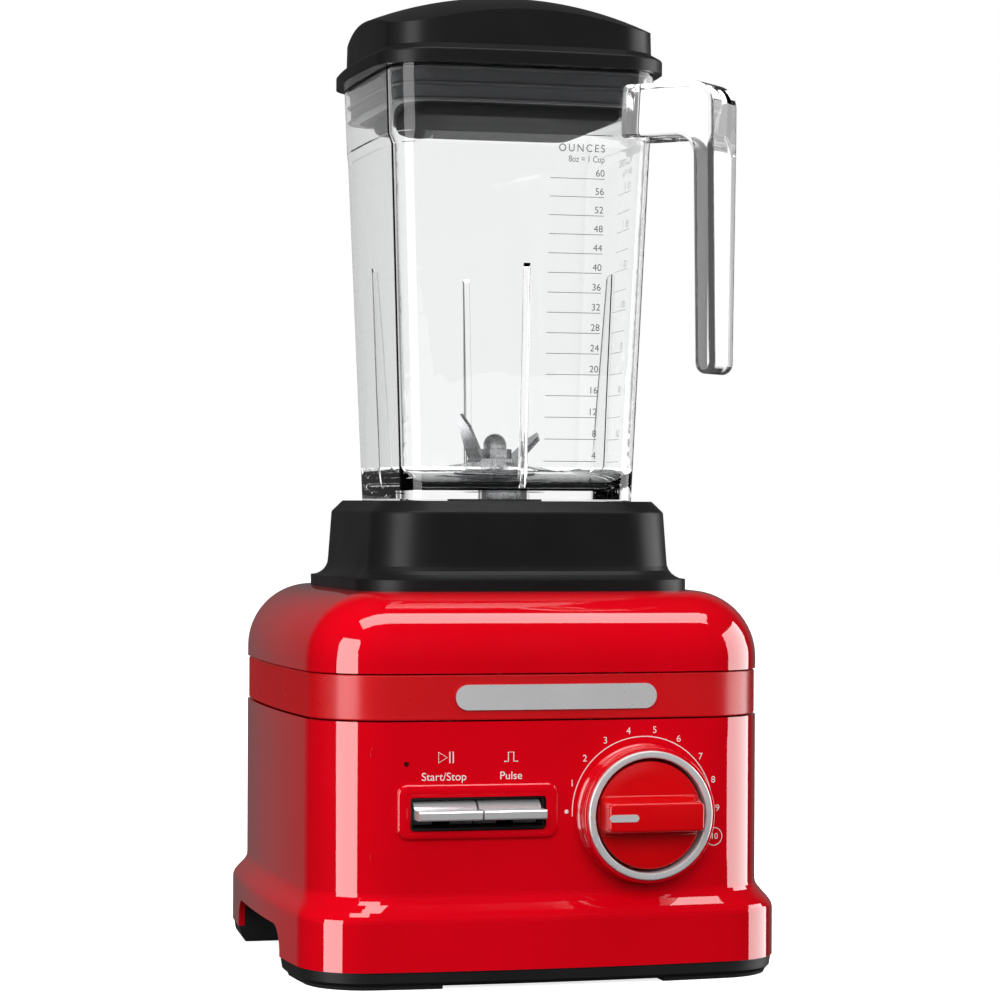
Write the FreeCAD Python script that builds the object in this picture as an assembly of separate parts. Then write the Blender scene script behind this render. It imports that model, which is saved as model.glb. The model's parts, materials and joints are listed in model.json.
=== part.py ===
import FreeCAD, Part
import math
import os

from FreeCAD import Vector

# Countertop blender: square enamelled motor base, clear square jar with a strap handle, black lid.
# Millimetres, +Z up.  While modelling, the drive axis is the Z axis and the front looks along -Y.
# On export the whole model is moved along Y so that the origin is under the middle of its box.

# ---- fits ----
seat_gap = 0.2         # between pieces that are pushed together and stay
bolt_gap = 0.25        # round a screw's shank
run_gap = 0.05         # running fit, on the radius
free_gap = 0.6         # between pieces that move past each other
touch = 0.05           # places closer than this count as the same
over = 1.0             # how far a cutting shape runs past the faces that it cuts
past = 5.0             # the same, past bowed faces
clear = 10.0
deep = 20.0
far = 30.0

# ---- casing, seen from above: bowed sides and round corners ----
body_half = 106.5
side_radius = 930.0
body_corner = 36.0
skirt_flare = 6.0
skirt_corner = 31.0
casing_wall = 3.0
skirt_bottom = 8.0
flare_low = 29.0
flare_high = 41.0
housing_height = 107.3
seam_gap = 0.6
seam_inset = 0.6
band_height = 19.7
cover_height = 34.8
cover_round = 30.0
lip_depth = 4.5
lip_wall = 2.4

# ---- underside ----
arch_front = 51.0
arch_rear = 54.0
arch_top = 21.5
arch_round = 12.0
pan_wall = 2.5
foot_height = 1.6
foot_round = 2.4
foot_inner = 50.0
foot_plug_radius = 4.0
casing_screw_inset = 20.5   # from the body's half width
casing_screw_radius = 1.9
casing_screw_length = 26.0
screw_head_radius = 4.0
screw_head_height = 2.4
boss_wall = 3.8
boss_rise = 4.0             # boss ends above the skirt's bottom
boss_above_flare = 20.0
boss_web_length = 12.0
boss_web_thick = 3.0
boss_web_below = 6.0
vent_count = 9
vent_width = 3.0
vent_pitch = 7.0
vent_length = 46.0

# ---- cord inlet in the rear wall ----
inlet_x = 55.0
inlet_z = 52.0
inlet_neck = 6.8
inlet_flange = 10.0
inlet_bore = 3.8
inlet_flange_depth = 2.4

# ---- jar collar ----
collar_height = 40.1
collar_foot_step = 7.4
collar_foot_corner = 30.0
collar_foot_height = 4.8
collar_flare_height = 8.0
collar_taper = 1.4
collar_top_width = 15.3     # from the jar's foot to the collar's outside at the top
collar_corner = 28.0
collar_chamfer = 5.1
collar_chamfer_height = 5.1
collar_edge = 1.0
collar_chamfer_round = 2.0
collar_wall = 3.0
collar_side_radius = 1400.0
socket_depth = 23.1
socket_clearance = 1.2
socket_floor = 3.0
socket_hole = 22.0
drip_ring_height = 2.0
drip_ring_wall = 2.5
collar_screw_inset = 18.8
collar_screw_hole = 10.0
cover_hole_step = 4.0       # cover's middle hole outside the socket's hole
collar_screw_length = 12.0

# ---- front panel: paddles ----
window_x = -34.1
window_z = 75.45
window_width = 60.4
window_height = 14.7
window_round = 1.6
rim_side = 5.4
rim_top = 5.2
rim_bottom = 3.2
rim_round = 4.5
rim_proud = 1.8
rim_edge = 1.2
frame_wall = 1.0
frame_depth = 14.0
paddle_split = 1.0
paddle_pin_radius = 1.5
paddle_pin_back = 11.5      # pin axis behind the front face
paddle_lip_reach = 9.5      # lip in front of the front face
paddle_lip_height = 3.9
spring_wire = 0.35
spring_radius = 2.6
spring_turns = 4
spring_pitch = 1.3
spring_slot = 8.0

# ---- front panel: speed dial ----
dial_x = 41.0
dial_z = 74.0
bezel_radius = 29.5
bezel_wall = 1.2
bezel_proud = 9.5
ring_width = 3.1
ring_proud = 11.3
dial_seat_back = 1.6        # flat seat cut behind the front face
knob_gap = 1.4
knob_face_back = 2.0        # knob disc behind the ring's face
knob_plate = 4.0
knob_skirt_wall = 2.0
grip_height = 11.8
grip_proud = 9.0            # grip in front of the ring's face
pointer_length = 13.0
pointer_height = 3.2
pointer_proud = 0.3
pointer_depth = 1.2
pointer_offset = 15.0
encoder_shaft_radius = 3.0
encoder_shaft_flat = 0.8
encoder_neck_radius = 4.6
encoder_size = 16.0
encoder_nut_radius = 7.0
encoder_nut_depth = 2.4

# ---- status light, name plate, control board ----
light_x = -65.7
light_z = 97.2
light_radius = 1.0
light_length = 7.5
plate_x = 1.5
plate_length = 91.0
plate_height = 11.0
plate_depth = 0.9
plate_round = 5.4
board_back = 26.0           # board's front behind the front face
board_thick = 1.6
board_half_width = 83.0
board_low = 52.0
board_high = 107.0
board_post_x = 77.0
board_post_inset = 5.0
board_post_radius = 4.0
board_screw_radius = 1.4
board_screw_length = 8.0
switch_size = 6.2
switch_plunger = 1.7

# ---- motor ----
shaft_radius = 4.0
shaft_clear_bottom = 5.5    # shaft end above the tunnel roof
fan_radius = 36.0
fan_hub = 9.0
fan_height = 11.0
fan_plate = 1.6
fan_blades = 11
fan_blade_wall = 1.4
duct_wall = 2.0
duct_gap = 5.0
duct_height = 20.5
duct_intake = 27.0
bearing_radius = 11.0
bearing_height = 7.0
bracket_hub = 15.0
bracket_thick = 5.0
bracket_arm = 14.0
lower_bracket_low = 48.0
commutator_radius = 12.0
commutator_low = 58.5
commutator_height = 14.0
commutator_bars = 22
commutator_slot = 0.5
brush_gap = 0.3
brush_width = 6.0
brush_height = 8.0
brush_length = 14.0
holder_wall = 1.5
stack_low = 78.0
stack_height = 44.0
yoke_reach = 27.0           # from the rotor's outside to the yoke's outside
yoke_flat_reach = 19.0
yoke_wall = 7.0
pole_half = 13.0
shoe_half = 20.0
shoe_thick = 5.5
air_gap = 0.6
rotor_radius = 23.0
rotor_slots = 12
rotor_slot_width = 3.0
rotor_slot_depth = 8.0
coil_thick = 5.4
coil_side = 8.5
winding_outer = 20.0
winding_inner = 8.0
winding_height = 4.4
upper_bracket_rise = 12.0
motor_bolt_radius = 2.0
isolator_place = 46.0
isolator_radius = 8.0
isolator_height = 10.0
isolator_bore = 3.0

# ---- drive coupling ----
coupler_radius = 15.0
coupler_hub = 7.5
coupler_disc = 4.0
coupler_lugs = 6
lug_inner = 8.6
lug_outer = 14.2
lug_height = 5.4
lug_angle = 22.0
coupler_below_socket = 1.0

# ---- jar ----
jar_foot_half = 54.1
jar_draft = 0.0402
jar_side_radius = 1200.0
jar_corner = 15.0
jar_rim_corner = 19.0
jar_wall = 2.6
jar_height = 219.0
jar_rim_depth = 35.0
jar_rim_blend = 5.0
jar_rim_swell = 0.8
jar_floor_rise = 24.0
jar_floor_wall = 4.0
jar_floor_round = 11.0
jar_foot_wall = 3.0
rib_top = 131.5
rib_depth_low = 6.5
rib_depth_high = 2.4
rib_width = 3.0
rib_nose = 1.2

# ---- handle, a strap on the front right corner ----
handle_finger_gap = 30.0
handle_thick = 10.0
handle_width_top = 27.0
handle_width_bottom = 21.0
handle_top_below_rim = 6.6
handle_arm = 24.5
handle_length = 131.8
handle_outer_round = 11.0
handle_inner_round = 9.0
handle_edge = 2.5

# ---- blade unit ----
tube_radius = 12.0
tube_bore = 8.0
tube_below_floor = 13.0
hub_flange = 19.0
hub_flange_height = 1.2
hub_low_radius = 16.7
hub_top_radius = 12.7
hub_height = 4.6
gasket_height = 1.2
nut_radius = 22.0
nut_height = 8.5
spindle_radius = 4.0
spindle_bearing_height = 5.0
spindle_collar_radius = 6.6
spindle_collar_height = 4.0
blade_thick = 1.6
blade_hub = 11.0
blade_width = 13.0
blade_turn = 16.0
upper_wings = ((180.0, 67.0, 24.0), (0.0, 42.0, 20.0))
lower_wings = ((292.0, -14.0, 24.0), (112.0, -6.0, 24.0))
cap_across = 14.0
cap_hex_height = 4.6
cap_dome_radius = 5.4
cap_height = 12.0
cap_thread_depth = 7.0

# ---- lid ----
lid_flange_overhang = 5.8   # beyond the jar's rim
lid_flange_corner = 26.0
lid_side_radius = 420.0
lid_flange_height = 6.0
lid_ledge_height = 3.0
lid_edge = 1.5
lid_body_overhang = 1.1
lid_body_taper = 0.8
lid_body_corner = 24.0
lid_height = 38.0
lid_dome_radius = 170.0
lid_wall = 2.6
plug_clearance = 4.0
dish_clearance = 10.5       # the dish under the plug is narrower
plug_depth = 21.5
plug_round = 3.4
seal_height = 16.0
seal_squeeze_gap = 0.35
seal_rib_height = 1.8
seal_rib_count = 3
seal_rib_depth = 1.6
seal_below_rim = 0.3

# ---- levels that follow from the sizes above ----
housing_top = skirt_bottom + housing_height
band_low = housing_top + seam_gap
band_high = band_low + band_height
cover_low = band_high + seam_gap
cover_top = cover_low + cover_height
cover_under = cover_top - casing_wall
collar_top = cover_top + collar_height
socket_z = collar_top - socket_depth
casing_screw_place = body_half - casing_screw_inset
collar_top_half = jar_foot_half + collar_top_width
collar_half = collar_top_half + collar_taper
collar_foot_half = collar_half + collar_foot_step
collar_screw_place = collar_half - collar_screw_inset
jar_floor_low = socket_z + jar_floor_rise
jar_floor_top = jar_floor_low + jar_floor_wall
jar_rim = socket_z + jar_height
jar_rim_start = jar_height - jar_rim_depth
jar_rim_half = jar_foot_half + jar_height * jar_draft + jar_rim_swell
lid_flange_half = jar_rim_half + lid_flange_overhang
lid_body_half = jar_rim_half + lid_body_overhang
lid_body_top_half = lid_body_half - lid_body_taper
handle_top = jar_rim - handle_top_below_rim
tunnel_roof = arch_top + pan_wall
stack_top = stack_low + stack_height
yoke_radius = rotor_radius + yoke_reach
yoke_flat = rotor_radius + yoke_flat_reach
lower_bracket_top = lower_bracket_low + bracket_thick
upper_bracket_low = stack_top + upper_bracket_rise
upper_bracket_top = upper_bracket_low + bracket_thick
isolator_top = upper_bracket_top + isolator_height
bolt_x = yoke_radius - yoke_wall / 2
lug_low = socket_z - coupler_below_socket
lug_high = lug_low + lug_height
face_front = ring_proud + grip_proud + pointer_proud
model_shift = (face_front - skirt_flare) / 2


# ---- shapes that repeat ----

def outline(half, side, corner, z):
    """Closed wire: four bowed sides joined by tangent corner arcs, at height z."""
    depth = side - half
    reach = side - corner
    centre = (math.sqrt(2 * reach * reach - depth * depth) - depth) / 2
    scale = side / reach
    touch_x = centre * scale
    touch_y = -depth + (centre + depth) * scale
    corner_mid = centre + corner / math.sqrt(2)
    turned = FreeCAD.Rotation(Vector(0, 0, 1), 90)
    left = Vector(-touch_x, touch_y, z)
    middle = Vector(0, half, z)
    right = Vector(touch_x, touch_y, z)
    far = Vector(corner_mid, corner_mid, z)
    after = Vector(touch_y, touch_x, z)
    edges = []
    for quarter in range(4):
        side_arc = Part.Arc(left, middle, right).toShape()
        corner_arc = Part.Arc(right, far, after).toShape()
        edges += [side_arc, corner_arc]
        left, middle, right, far, after = [
            turned.inverted().multVec(point) for point in (left, middle, right, far, after)]
    return Part.Wire(edges)


def slab(half, side, corner, low, high):
    """Upright prism on an outline."""
    return Part.Face(outline(half, side, corner, low)).extrude(Vector(0, 0, high - low))


def stack(levels):
    """Solid through outlines given as (half, side radius, corner radius, z), from low to high."""
    return Part.makeLoft([outline(*level) for level in levels], True, True)


def inward(levels, wall):
    return [(half - wall, side - wall, corner - wall, z) for half, side, corner, z in levels]


def cylinder(radius, low, high, x=0.0, y=0.0):
    return Part.makeCylinder(radius, high - low, Vector(x, y, low))


def ring(outer, inner, low, high, x=0.0, y=0.0):
    return cylinder(outer, low, high, x, y).cut(cylinder(inner, low, high, x, y))


def rod(radius, x, z, front, back):
    """Round bar along Y."""
    return Part.makeCylinder(radius, back - front, Vector(x, front, z), Vector(0, 1, 0))


def box(x_low, x_high, y_low, y_high, z_low, z_high):
    corner = Vector(x_low, y_low, z_low)
    return Part.makeBox(x_high - x_low, y_high - y_low, z_high - z_low, corner)


def polygon_prism(points, direction):
    wire = Part.makePolygon(points + [points[0]])
    return Part.Face(wire).extrude(direction)


def hexagon(across, low, high):
    reach = across / math.sqrt(3)
    points = [Vector(reach * math.cos(math.radians(a)), reach * math.sin(math.radians(a)), low)
              for a in range(0, 360, 60)]
    return polygon_prism(points, Vector(0, 0, high - low))


def round_window(x, z, width, height, radius, front, back):
    """Rectangle with round corners in the XZ plane, as a block along Y."""
    block = box(x - width / 2, x + width / 2, front, back, z - height / 2, z + height / 2)
    edges = [e for e in block.Edges if abs(e.tangentAt(e.FirstParameter).y) > 0.9]
    return block.makeFillet(radius, edges)


def middle_of(edge):
    return edge.valueAt((edge.FirstParameter + edge.LastParameter) / 2)


def level_edges(shape, z, beyond=0.0):
    """Edges that lie at height z and reach further out than beyond."""
    found = []
    for edge in shape.Edges:
        middle = middle_of(edge)
        box_of = edge.BoundBox
        level = abs(box_of.ZMin - z) < touch and abs(box_of.ZMax - z) < touch
        if level and max(abs(middle.x), abs(middle.y)) > beyond:
            found.append(edge)
    return found


def turned_z(shape, angle):
    copy = shape.copy()
    copy.rotate(Vector(0, 0, 0), Vector(0, 0, 1), angle)
    return copy


def around(shape, count, start=0.0):
    return [turned_z(shape, start + 360.0 * i / count) for i in range(count)]


def four_corners(place):
    return [(sx * place, sy * place) for sx in (-1, 1) for sy in (-1, 1)]


def four_sides(place):
    return [(place, 0.0), (-place, 0.0), (0.0, place), (0.0, -place)]


def screw(radius, length, head_low, x, y):
    """Pan head screw pointing up, with its head below head_low."""
    head = cylinder(screw_head_radius, head_low - screw_head_height, head_low, x, y)
    rim = [e for e in head.Edges if abs(e.BoundBox.ZMax - (head_low - screw_head_height)) < 1e-6]
    head = head.makeFillet(screw_head_height * 0.5, rim)
    return head.fuse(cylinder(radius, head_low, head_low + length, x, y)).removeSplitter()


def face_y(x):
    """Y of the front face at x, on the bowed outline."""
    return -(body_half - side_radius + math.sqrt(side_radius ** 2 - x ** 2))


def save(name, solids):
    """Write one node: a solid, or a group of separate solids."""
    if not isinstance(solids, list):
        solids = [solids]
    shape = solids[0] if len(solids) == 1 else Part.makeCompound(solids)
    shape = shape.copy()
    shape.translate(Vector(0, model_shift, 0))
    shape.exportStep("parts/" + name + ".step")
    print(name, len(shape.Solids), "solid(s)", round(shape.Volume / 1000, 2), "cm3", shape.isValid())


# ---- casing ----

def housing_levels():
    skirt_half = body_half + skirt_flare
    levels = [(skirt_half, side_radius, skirt_corner, skirt_bottom)]
    steps = 8
    for i in range(steps + 1):
        t = i / steps
        ease = (1 + math.cos(math.pi * t)) / 2
        half = body_half + skirt_flare * ease
        corner = body_corner + (skirt_corner - body_corner) * ease
        levels.append((half, side_radius, corner, flare_low + (flare_high - flare_low) * t))
    levels.append((body_half, side_radius, body_corner, housing_top))
    return levels


def arch_block(extra):
    """Rounded block through both sides that clears the arch, grown outwards by extra."""
    reach = body_half + skirt_flare + clear
    block = box(-reach, reach, -arch_front - extra, arch_rear + extra, -clear, arch_top + extra)
    top = [e for e in block.Edges
           if abs(e.BoundBox.ZMin - arch_top - extra) < 1e-6 and e.BoundBox.XLength > reach]
    return block.makeFillet(arch_round + extra, top)


def front_rim():
    """Raised rim round the paddle window, proud of the bowed face."""
    width = window_width + 2 * rim_side
    height = window_height + rim_top + rim_bottom
    z = window_z + (rim_top - rim_bottom) / 2
    front = -body_half - rim_proud - past
    block = round_window(window_x, z, width, height, rim_round, front, -body_half / 2)
    skin = slab(body_half + rim_proud, side_radius + rim_proud, body_corner + rim_proud,
                housing_top - 90, housing_top)
    core = slab(body_half - casing_wall / 2, side_radius - casing_wall / 2,
                body_corner - casing_wall / 2, housing_top - 91, housing_top + over)
    frame = block.common(skin.cut(core))
    edges = []
    for edge in frame.Edges:
        middle = middle_of(edge)
        if abs(middle.y - face_y(middle.x) + rim_proud) < touch:
            edges.append(edge)
    return frame.makeFillet(rim_edge, edges)


def dial_bezel():
    front = -body_half - bezel_proud
    tube = rod(bezel_radius, dial_x, dial_z, front, -body_half + casing_wall)
    return tube.cut(rod(bezel_radius - bezel_wall, dial_x, dial_z, front - over, 0))


def lower_housing():
    outer = stack(housing_levels())
    inner_levels = inward(housing_levels(), casing_wall)
    first = inner_levels[0]
    last = inner_levels[-1]
    inner_levels[0] = (first[0], first[1], first[2], skirt_bottom - over)
    inner_levels[-1] = (last[0], last[1], last[2], housing_top + over)
    shell = outer.cut(stack(inner_levels))
    seat_front = -body_half + dial_seat_back
    dial_seat = rod(bezel_radius - bezel_wall, dial_x, dial_z, -body_half - far, seat_front)
    shell = shell.fuse([front_rim(), dial_bezel()]).cut(dial_seat)
    for x in (-board_post_x, board_post_x):
        for z in (board_low + board_post_inset, board_high - board_post_inset):
            front = face_y(x) + casing_wall / 2
            back = -body_half + board_back
            shell = shell.fuse(rod(board_post_radius, x, z, front, back))
            shell = shell.cut(rod(board_screw_radius + seat_gap, x, z, back - board_screw_length, back))
    boss_low = skirt_bottom + boss_rise
    boss_high = flare_high + boss_above_flare
    for x, y in four_corners(casing_screw_place):
        boss = cylinder(casing_screw_radius + boss_wall, boss_low, boss_high, x, y)
        web = box(0, boss_web_length, -boss_web_thick / 2, boss_web_thick / 2,
                  flare_high - boss_web_below, boss_high)
        web.rotate(Vector(0, 0, 0), Vector(0, 0, 1), math.degrees(math.atan2(y, x)))
        web.translate(Vector(x, y, 0))
        shell = shell.fuse([boss, web.common(outer)])
        shell = shell.cut(cylinder(casing_screw_radius + bolt_gap, boss_low,
                                   boss_low + casing_screw_length, x, y))
    shell = shell.cut(round_window(window_x, window_z, window_width, window_height, window_round,
                                   -body_half - clear, -body_half + deep))
    shell = shell.cut(rod(light_radius + seat_gap / 2, light_x, light_z, -body_half - past, -body_half + 15))
    shell = shell.cut(rod(encoder_neck_radius + seat_gap, dial_x, dial_z, -body_half - past, -body_half + 15))
    shell = shell.cut(rod(inlet_neck + seat_gap, inlet_x, inlet_z, body_half - deep, body_half + clear))
    return shell.cut(arch_block(0)).removeSplitter()


def trim_band():
    half = body_half - seam_inset
    side = side_radius - seam_inset
    corner = body_corner - seam_inset
    band = slab(half, side, corner, band_low, band_high)
    inset = casing_wall + seat_gap
    lip = slab(body_half - inset, side_radius - inset, body_corner - inset,
               band_low - lip_depth, band_high + lip_depth)
    inset += lip_wall
    bore = slab(body_half - inset, side_radius - inset, body_corner - inset,
                band_low - lip_depth - over, band_high + lip_depth + over)
    return band.fuse(lip).cut(bore).removeSplitter()


def upper_cover():
    outer = slab(body_half, side_radius, body_corner, cover_low, cover_top)
    top = [e for e in outer.Edges if abs(e.BoundBox.ZMin - cover_top) < 1e-4]
    outer = outer.makeFillet(cover_round, top)
    wall = casing_wall
    inner = slab(body_half - wall, side_radius - wall, body_corner - wall, cover_low - past, cover_under)
    top = [e for e in inner.Edges if abs(e.BoundBox.ZMin - cover_under) < 1e-4]
    inner = inner.makeFillet(cover_round - wall, top)
    shell = outer.cut(inner)
    for x, y in four_corners(isolator_place):
        boss = cylinder(casing_screw_radius + boss_wall, isolator_top, cover_under + over, x, y)
        shell = shell.fuse(boss)
        shell = shell.cut(cylinder(casing_screw_radius + bolt_gap, isolator_top,
                                   isolator_top + screw_bite(), x, y))
    for x, y in four_sides(collar_screw_place):
        shell = shell.cut(cylinder(casing_screw_radius + bolt_gap, cover_under - over, cover_top + over, x, y))
    return shell.cut(cylinder(socket_hole + cover_hole_step, cover_under - over, cover_top + over)).removeSplitter()


def screw_bite():
    """How far the motor screws go into the cover's bosses."""
    return (cover_under - isolator_top) * 0.7


def jar_collar():
    levels = [(collar_foot_half, collar_side_radius, collar_foot_corner, cover_top),
              (collar_foot_half, collar_side_radius, collar_foot_corner, cover_top + collar_foot_height)]
    steps = 6
    flare = collar_foot_half - collar_half
    for i in range(1, steps + 1):
        angle = math.pi / 2 * i / steps
        half = collar_foot_half - flare * math.sin(angle)
        corner = collar_foot_corner + (collar_corner - collar_foot_corner) * i / steps
        z = cover_top + collar_foot_height + collar_flare_height * (1 - math.cos(angle))
        levels.append((half, collar_side_radius, corner, z))
    levels.append((collar_top_half, collar_side_radius, collar_corner, collar_top - collar_chamfer_height))
    levels.append((collar_top_half - collar_chamfer, collar_side_radius,
                   collar_corner - collar_chamfer * 0.8, collar_top))
    outer = stack(levels)
    cavity_levels = inward(levels[:-1], collar_wall)
    first = cavity_levels[0]
    cavity_levels[0] = (first[0], first[1], first[2], cover_top - over)
    cavity = stack(cavity_levels)
    foot = jar_foot_half + socket_clearance
    mouth = jar_half(collar_top) + socket_clearance
    corner = jar_corner + socket_clearance
    socket = stack([(foot, jar_side_radius, corner, socket_z), (mouth, jar_side_radius, corner, collar_top),
                    (mouth, jar_side_radius, corner, collar_top + past)])
    wall = collar_wall
    cup = stack([(foot + wall, jar_side_radius, corner + wall, socket_z - socket_floor),
                 (mouth + wall, jar_side_radius, corner + wall, collar_top + over)])
    collar = outer.cut(cavity.cut(cup))
    for x, y in four_sides(collar_screw_place):
        collar = collar.fuse(cylinder(casing_screw_radius + boss_wall, cover_top, socket_z - over, x, y))
        collar = collar.cut(cylinder(casing_screw_radius + bolt_gap, cover_top,
                                     cover_top + collar_screw_hole, x, y))
    collar = collar.cut(socket)
    drip = ring(socket_hole + drip_ring_wall, socket_hole, socket_z - over, socket_z + drip_ring_height)
    collar = collar.fuse(drip)
    collar = collar.cut(cylinder(socket_hole, socket_z - clear, socket_z + over)).removeSplitter()
    rim_inside = collar_top_half - collar_chamfer - collar_wall
    collar = collar.makeFillet(collar_edge, level_edges(collar, collar_top, rim_inside))
    return collar.makeFillet(collar_chamfer_round, level_edges(collar, collar_top - collar_chamfer_height))


def bottom_pan():
    half = body_half + skirt_flare
    edge = seam_inset
    rim = stack([(half - edge - foot_round, side_radius - edge, skirt_corner - edge - foot_round, foot_height),
                 (half - edge - foot_round * 0.3, side_radius - edge, skirt_corner - edge - foot_round * 0.3,
                  foot_height + foot_round * 0.7),
                 (half - edge, side_radius - edge, skirt_corner - edge, skirt_bottom - 0.4),
                 (half - edge, side_radius - edge, skirt_corner - edge, skirt_bottom)])
    inset = casing_wall + seat_gap
    lip = slab(half - inset, side_radius - inset, skirt_corner - inset, foot_height + over, skirt_bottom + 4)
    pocket_inset = inset + pan_wall
    pocket = slab(half - pocket_inset, side_radius - pocket_inset, skirt_corner - pocket_inset,
                  foot_height + pan_wall, skirt_bottom + past)
    tunnel = arch_block(pan_wall).common(
        slab(half - inset, side_radius - inset, skirt_corner - inset, foot_height, tunnel_roof + over))
    pan = rim.fuse(lip).cut(pocket).fuse(tunnel)
    for x, y in four_corners(casing_screw_place):
        pan = pan.fuse(cylinder(screw_head_radius + 3, foot_height + over, skirt_bottom + 4, x, y))
        pan = pan.cut(cylinder(screw_head_radius + bolt_gap, 0, foot_height + pan_wall + over, x, y))
        pan = pan.cut(cylinder(casing_screw_radius + bolt_gap, 0, skirt_bottom + past, x, y))
    for x, y in foot_plugs():
        pan = pan.cut(cylinder(foot_plug_radius + seat_gap, 0, foot_height + pan_wall + over, x, y))
    for i in range(vent_count):
        x = (i - (vent_count - 1) / 2) * vent_pitch
        slot = box(x - vent_width / 2, x + vent_width / 2, -vent_length / 2, vent_length / 2,
                   arch_top - over, tunnel_roof + over)
        pan = pan.cut(slot)
    return pan.cut(arch_block(0)).removeSplitter()


def foot_plugs():
    return [(x * 0.8, y) for x, y in four_corners(casing_screw_place)]


def rubber_feet():
    half = body_half + skirt_flare - seam_inset - foot_round
    side = side_radius - seam_inset
    corner = skirt_corner - seam_inset - foot_round
    sheet = stack([(half - 0.8, side, corner - 0.8, 0), (half, side, corner, foot_height)])
    feet = []
    for x, y in four_corners(1.0):
        start = arch_front if y < 0 else arch_rear
        x_range = sorted((x * foot_inner, x * (half + past)))
        y_range = sorted((y * (start + pan_wall), y * (half + past)))
        pad = sheet.common(box(x_range[0], x_range[1], y_range[0], y_range[1], -over, foot_height))
        place = casing_screw_place
        pad = pad.cut(cylinder(screw_head_radius + bolt_gap, -over, foot_height + over, x * place, y * place))
        plug = cylinder(foot_plug_radius, foot_height, foot_height + pan_wall, x * place * 0.8, y * place)
        feet.append(pad.fuse(plug).removeSplitter())
    return feet


def casing_screws():
    head_low = foot_height + pan_wall + over
    return [screw(casing_screw_radius, casing_screw_length, head_low, x, y)
            for x, y in four_corners(casing_screw_place)]


def collar_screws():
    return [screw(casing_screw_radius, collar_screw_length, cover_under, x, y)
            for x, y in four_sides(collar_screw_place)]


def cord_inlet():
    wall_out = -face_y(inlet_x - inlet_flange) + seat_gap
    wall_in = -face_y(inlet_x + inlet_flange) - casing_wall - seat_gap
    flange = rod(inlet_flange, inlet_x, inlet_z, wall_out, wall_out + inlet_flange_depth)
    neck = rod(inlet_neck, inlet_x, inlet_z, wall_in - inlet_flange_depth, wall_out + over)
    lock = rod(inlet_flange - over, inlet_x, inlet_z, wall_in - inlet_flange_depth, wall_in)
    bore = rod(inlet_bore, inlet_x, inlet_z, wall_in - clear, wall_out + clear)
    return flange.fuse([neck, lock]).cut(bore).removeSplitter()


def nameplate():
    half = body_half - seam_inset
    skin = slab(half + plate_depth, side_radius, body_corner, band_low, band_high)
    core = slab(half, side_radius - seam_inset, body_corner, band_low - over, band_high + over)
    z = (band_low + band_high) / 2
    block = round_window(plate_x, z, plate_length, plate_height, plate_round,
                         -body_half - clear, -body_half / 2)
    return block.common(skin.cut(core))


def light_lens():
    front = face_y(light_x) - 0.4
    return rod(light_radius, light_x, light_z, front, front + light_length)


# ---- paddles ----

pin_y = -body_half + paddle_pin_back
pin_z = window_z + 0.6
frame_inner_low = window_z - window_height / 2 + frame_wall + seat_gap
frame_inner_high = window_z + window_height / 2 - frame_wall - seat_gap
frame_inner_left = window_x - window_width / 2 + frame_wall + seat_gap
frame_inner_right = window_x + window_width / 2 - frame_wall - seat_gap
paddle_width = (frame_inner_right - frame_inner_left - 2 * free_gap - paddle_split) / 2
start_x = frame_inner_left + free_gap + paddle_width / 2
pulse_x = frame_inner_right - free_gap - paddle_width / 2


def paddle_frame():
    liner = round_window(window_x, window_z, window_width - 2 * seat_gap, window_height - 2 * seat_gap,
                         window_round - seat_gap, -body_half + over, -body_half + 8)
    back = -body_half + 4 + frame_depth
    flange = box(window_x - window_width / 2 - 3, window_x + window_width / 2 + 3,
                 -body_half + 6.5, back,
                 window_z - window_height / 2 - 3, window_z + window_height / 2 + 3)
    inside = box(frame_inner_left, frame_inner_right, -body_half - past, back - 2,
                 frame_inner_low, frame_inner_high)
    frame = liner.fuse(flange).cut(inside)
    for x in (start_x, pulse_x):
        frame = frame.cut(box(x - 4.5, x + 4.5, back - past, back + over, frame_inner_low, pin_z))
    hole = Part.makeCylinder(paddle_pin_radius + seat_gap / 4, window_width + deep,
                             Vector(window_x - window_width / 2 - clear, pin_y, pin_z), Vector(1, 0, 0))
    return frame.cut(hole).removeSplitter()


def paddle(x):
    """Rocking key: curved top, flat lip in front, and an arm behind that reaches the switch."""
    front = -body_half
    top = frame_inner_high - 0.5
    low = frame_inner_low + 0.8
    lip_top = window_z + 1.9
    lip_low = lip_top - paddle_lip_height
    lip_front = front - paddle_lip_reach
    left = x - paddle_width / 2

    def at(y, z):
        return Vector(left, y, z)

    crown = Part.Arc(at(pin_y - 2.5, top), at(front + 4.2, (top + lip_top) / 2 + 1.3),
                     at(front + 0.8, lip_top + 0.2)).toShape()
    points = [at(front + 0.8, lip_top + 0.2), at(lip_front + 0.5, lip_top), at(lip_front, lip_top - 0.6),
              at(lip_front, lip_low + 0.6), at(lip_front + 0.5, lip_low), at(front + 3, lip_low - 0.2),
              at(pin_y - 3, lip_low - 1.0), at(pin_y - 1.5, low), at(pin_y + 2.5, low),
              at(pin_y + 3.2, pin_z), at(pin_y + 1.5, top - 0.4), at(pin_y - 2.5, top)]
    edges = [crown] + [Part.makeLine(a, b) for a, b in zip(points, points[1:])]
    body = Part.Face(Part.Wire(edges)).extrude(Vector(paddle_width, 0, 0))
    bore = Part.makeCylinder(paddle_pin_radius + run_gap, paddle_width + 2,
                             Vector(left - over, pin_y, pin_z), Vector(1, 0, 0))
    slot = box(x - spring_slot / 2, x + spring_slot / 2, pin_y - 4.4, pin_y + 6,
               frame_inner_low - over, frame_inner_high + over)
    return body.cut(bore).cut(slot)


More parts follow.
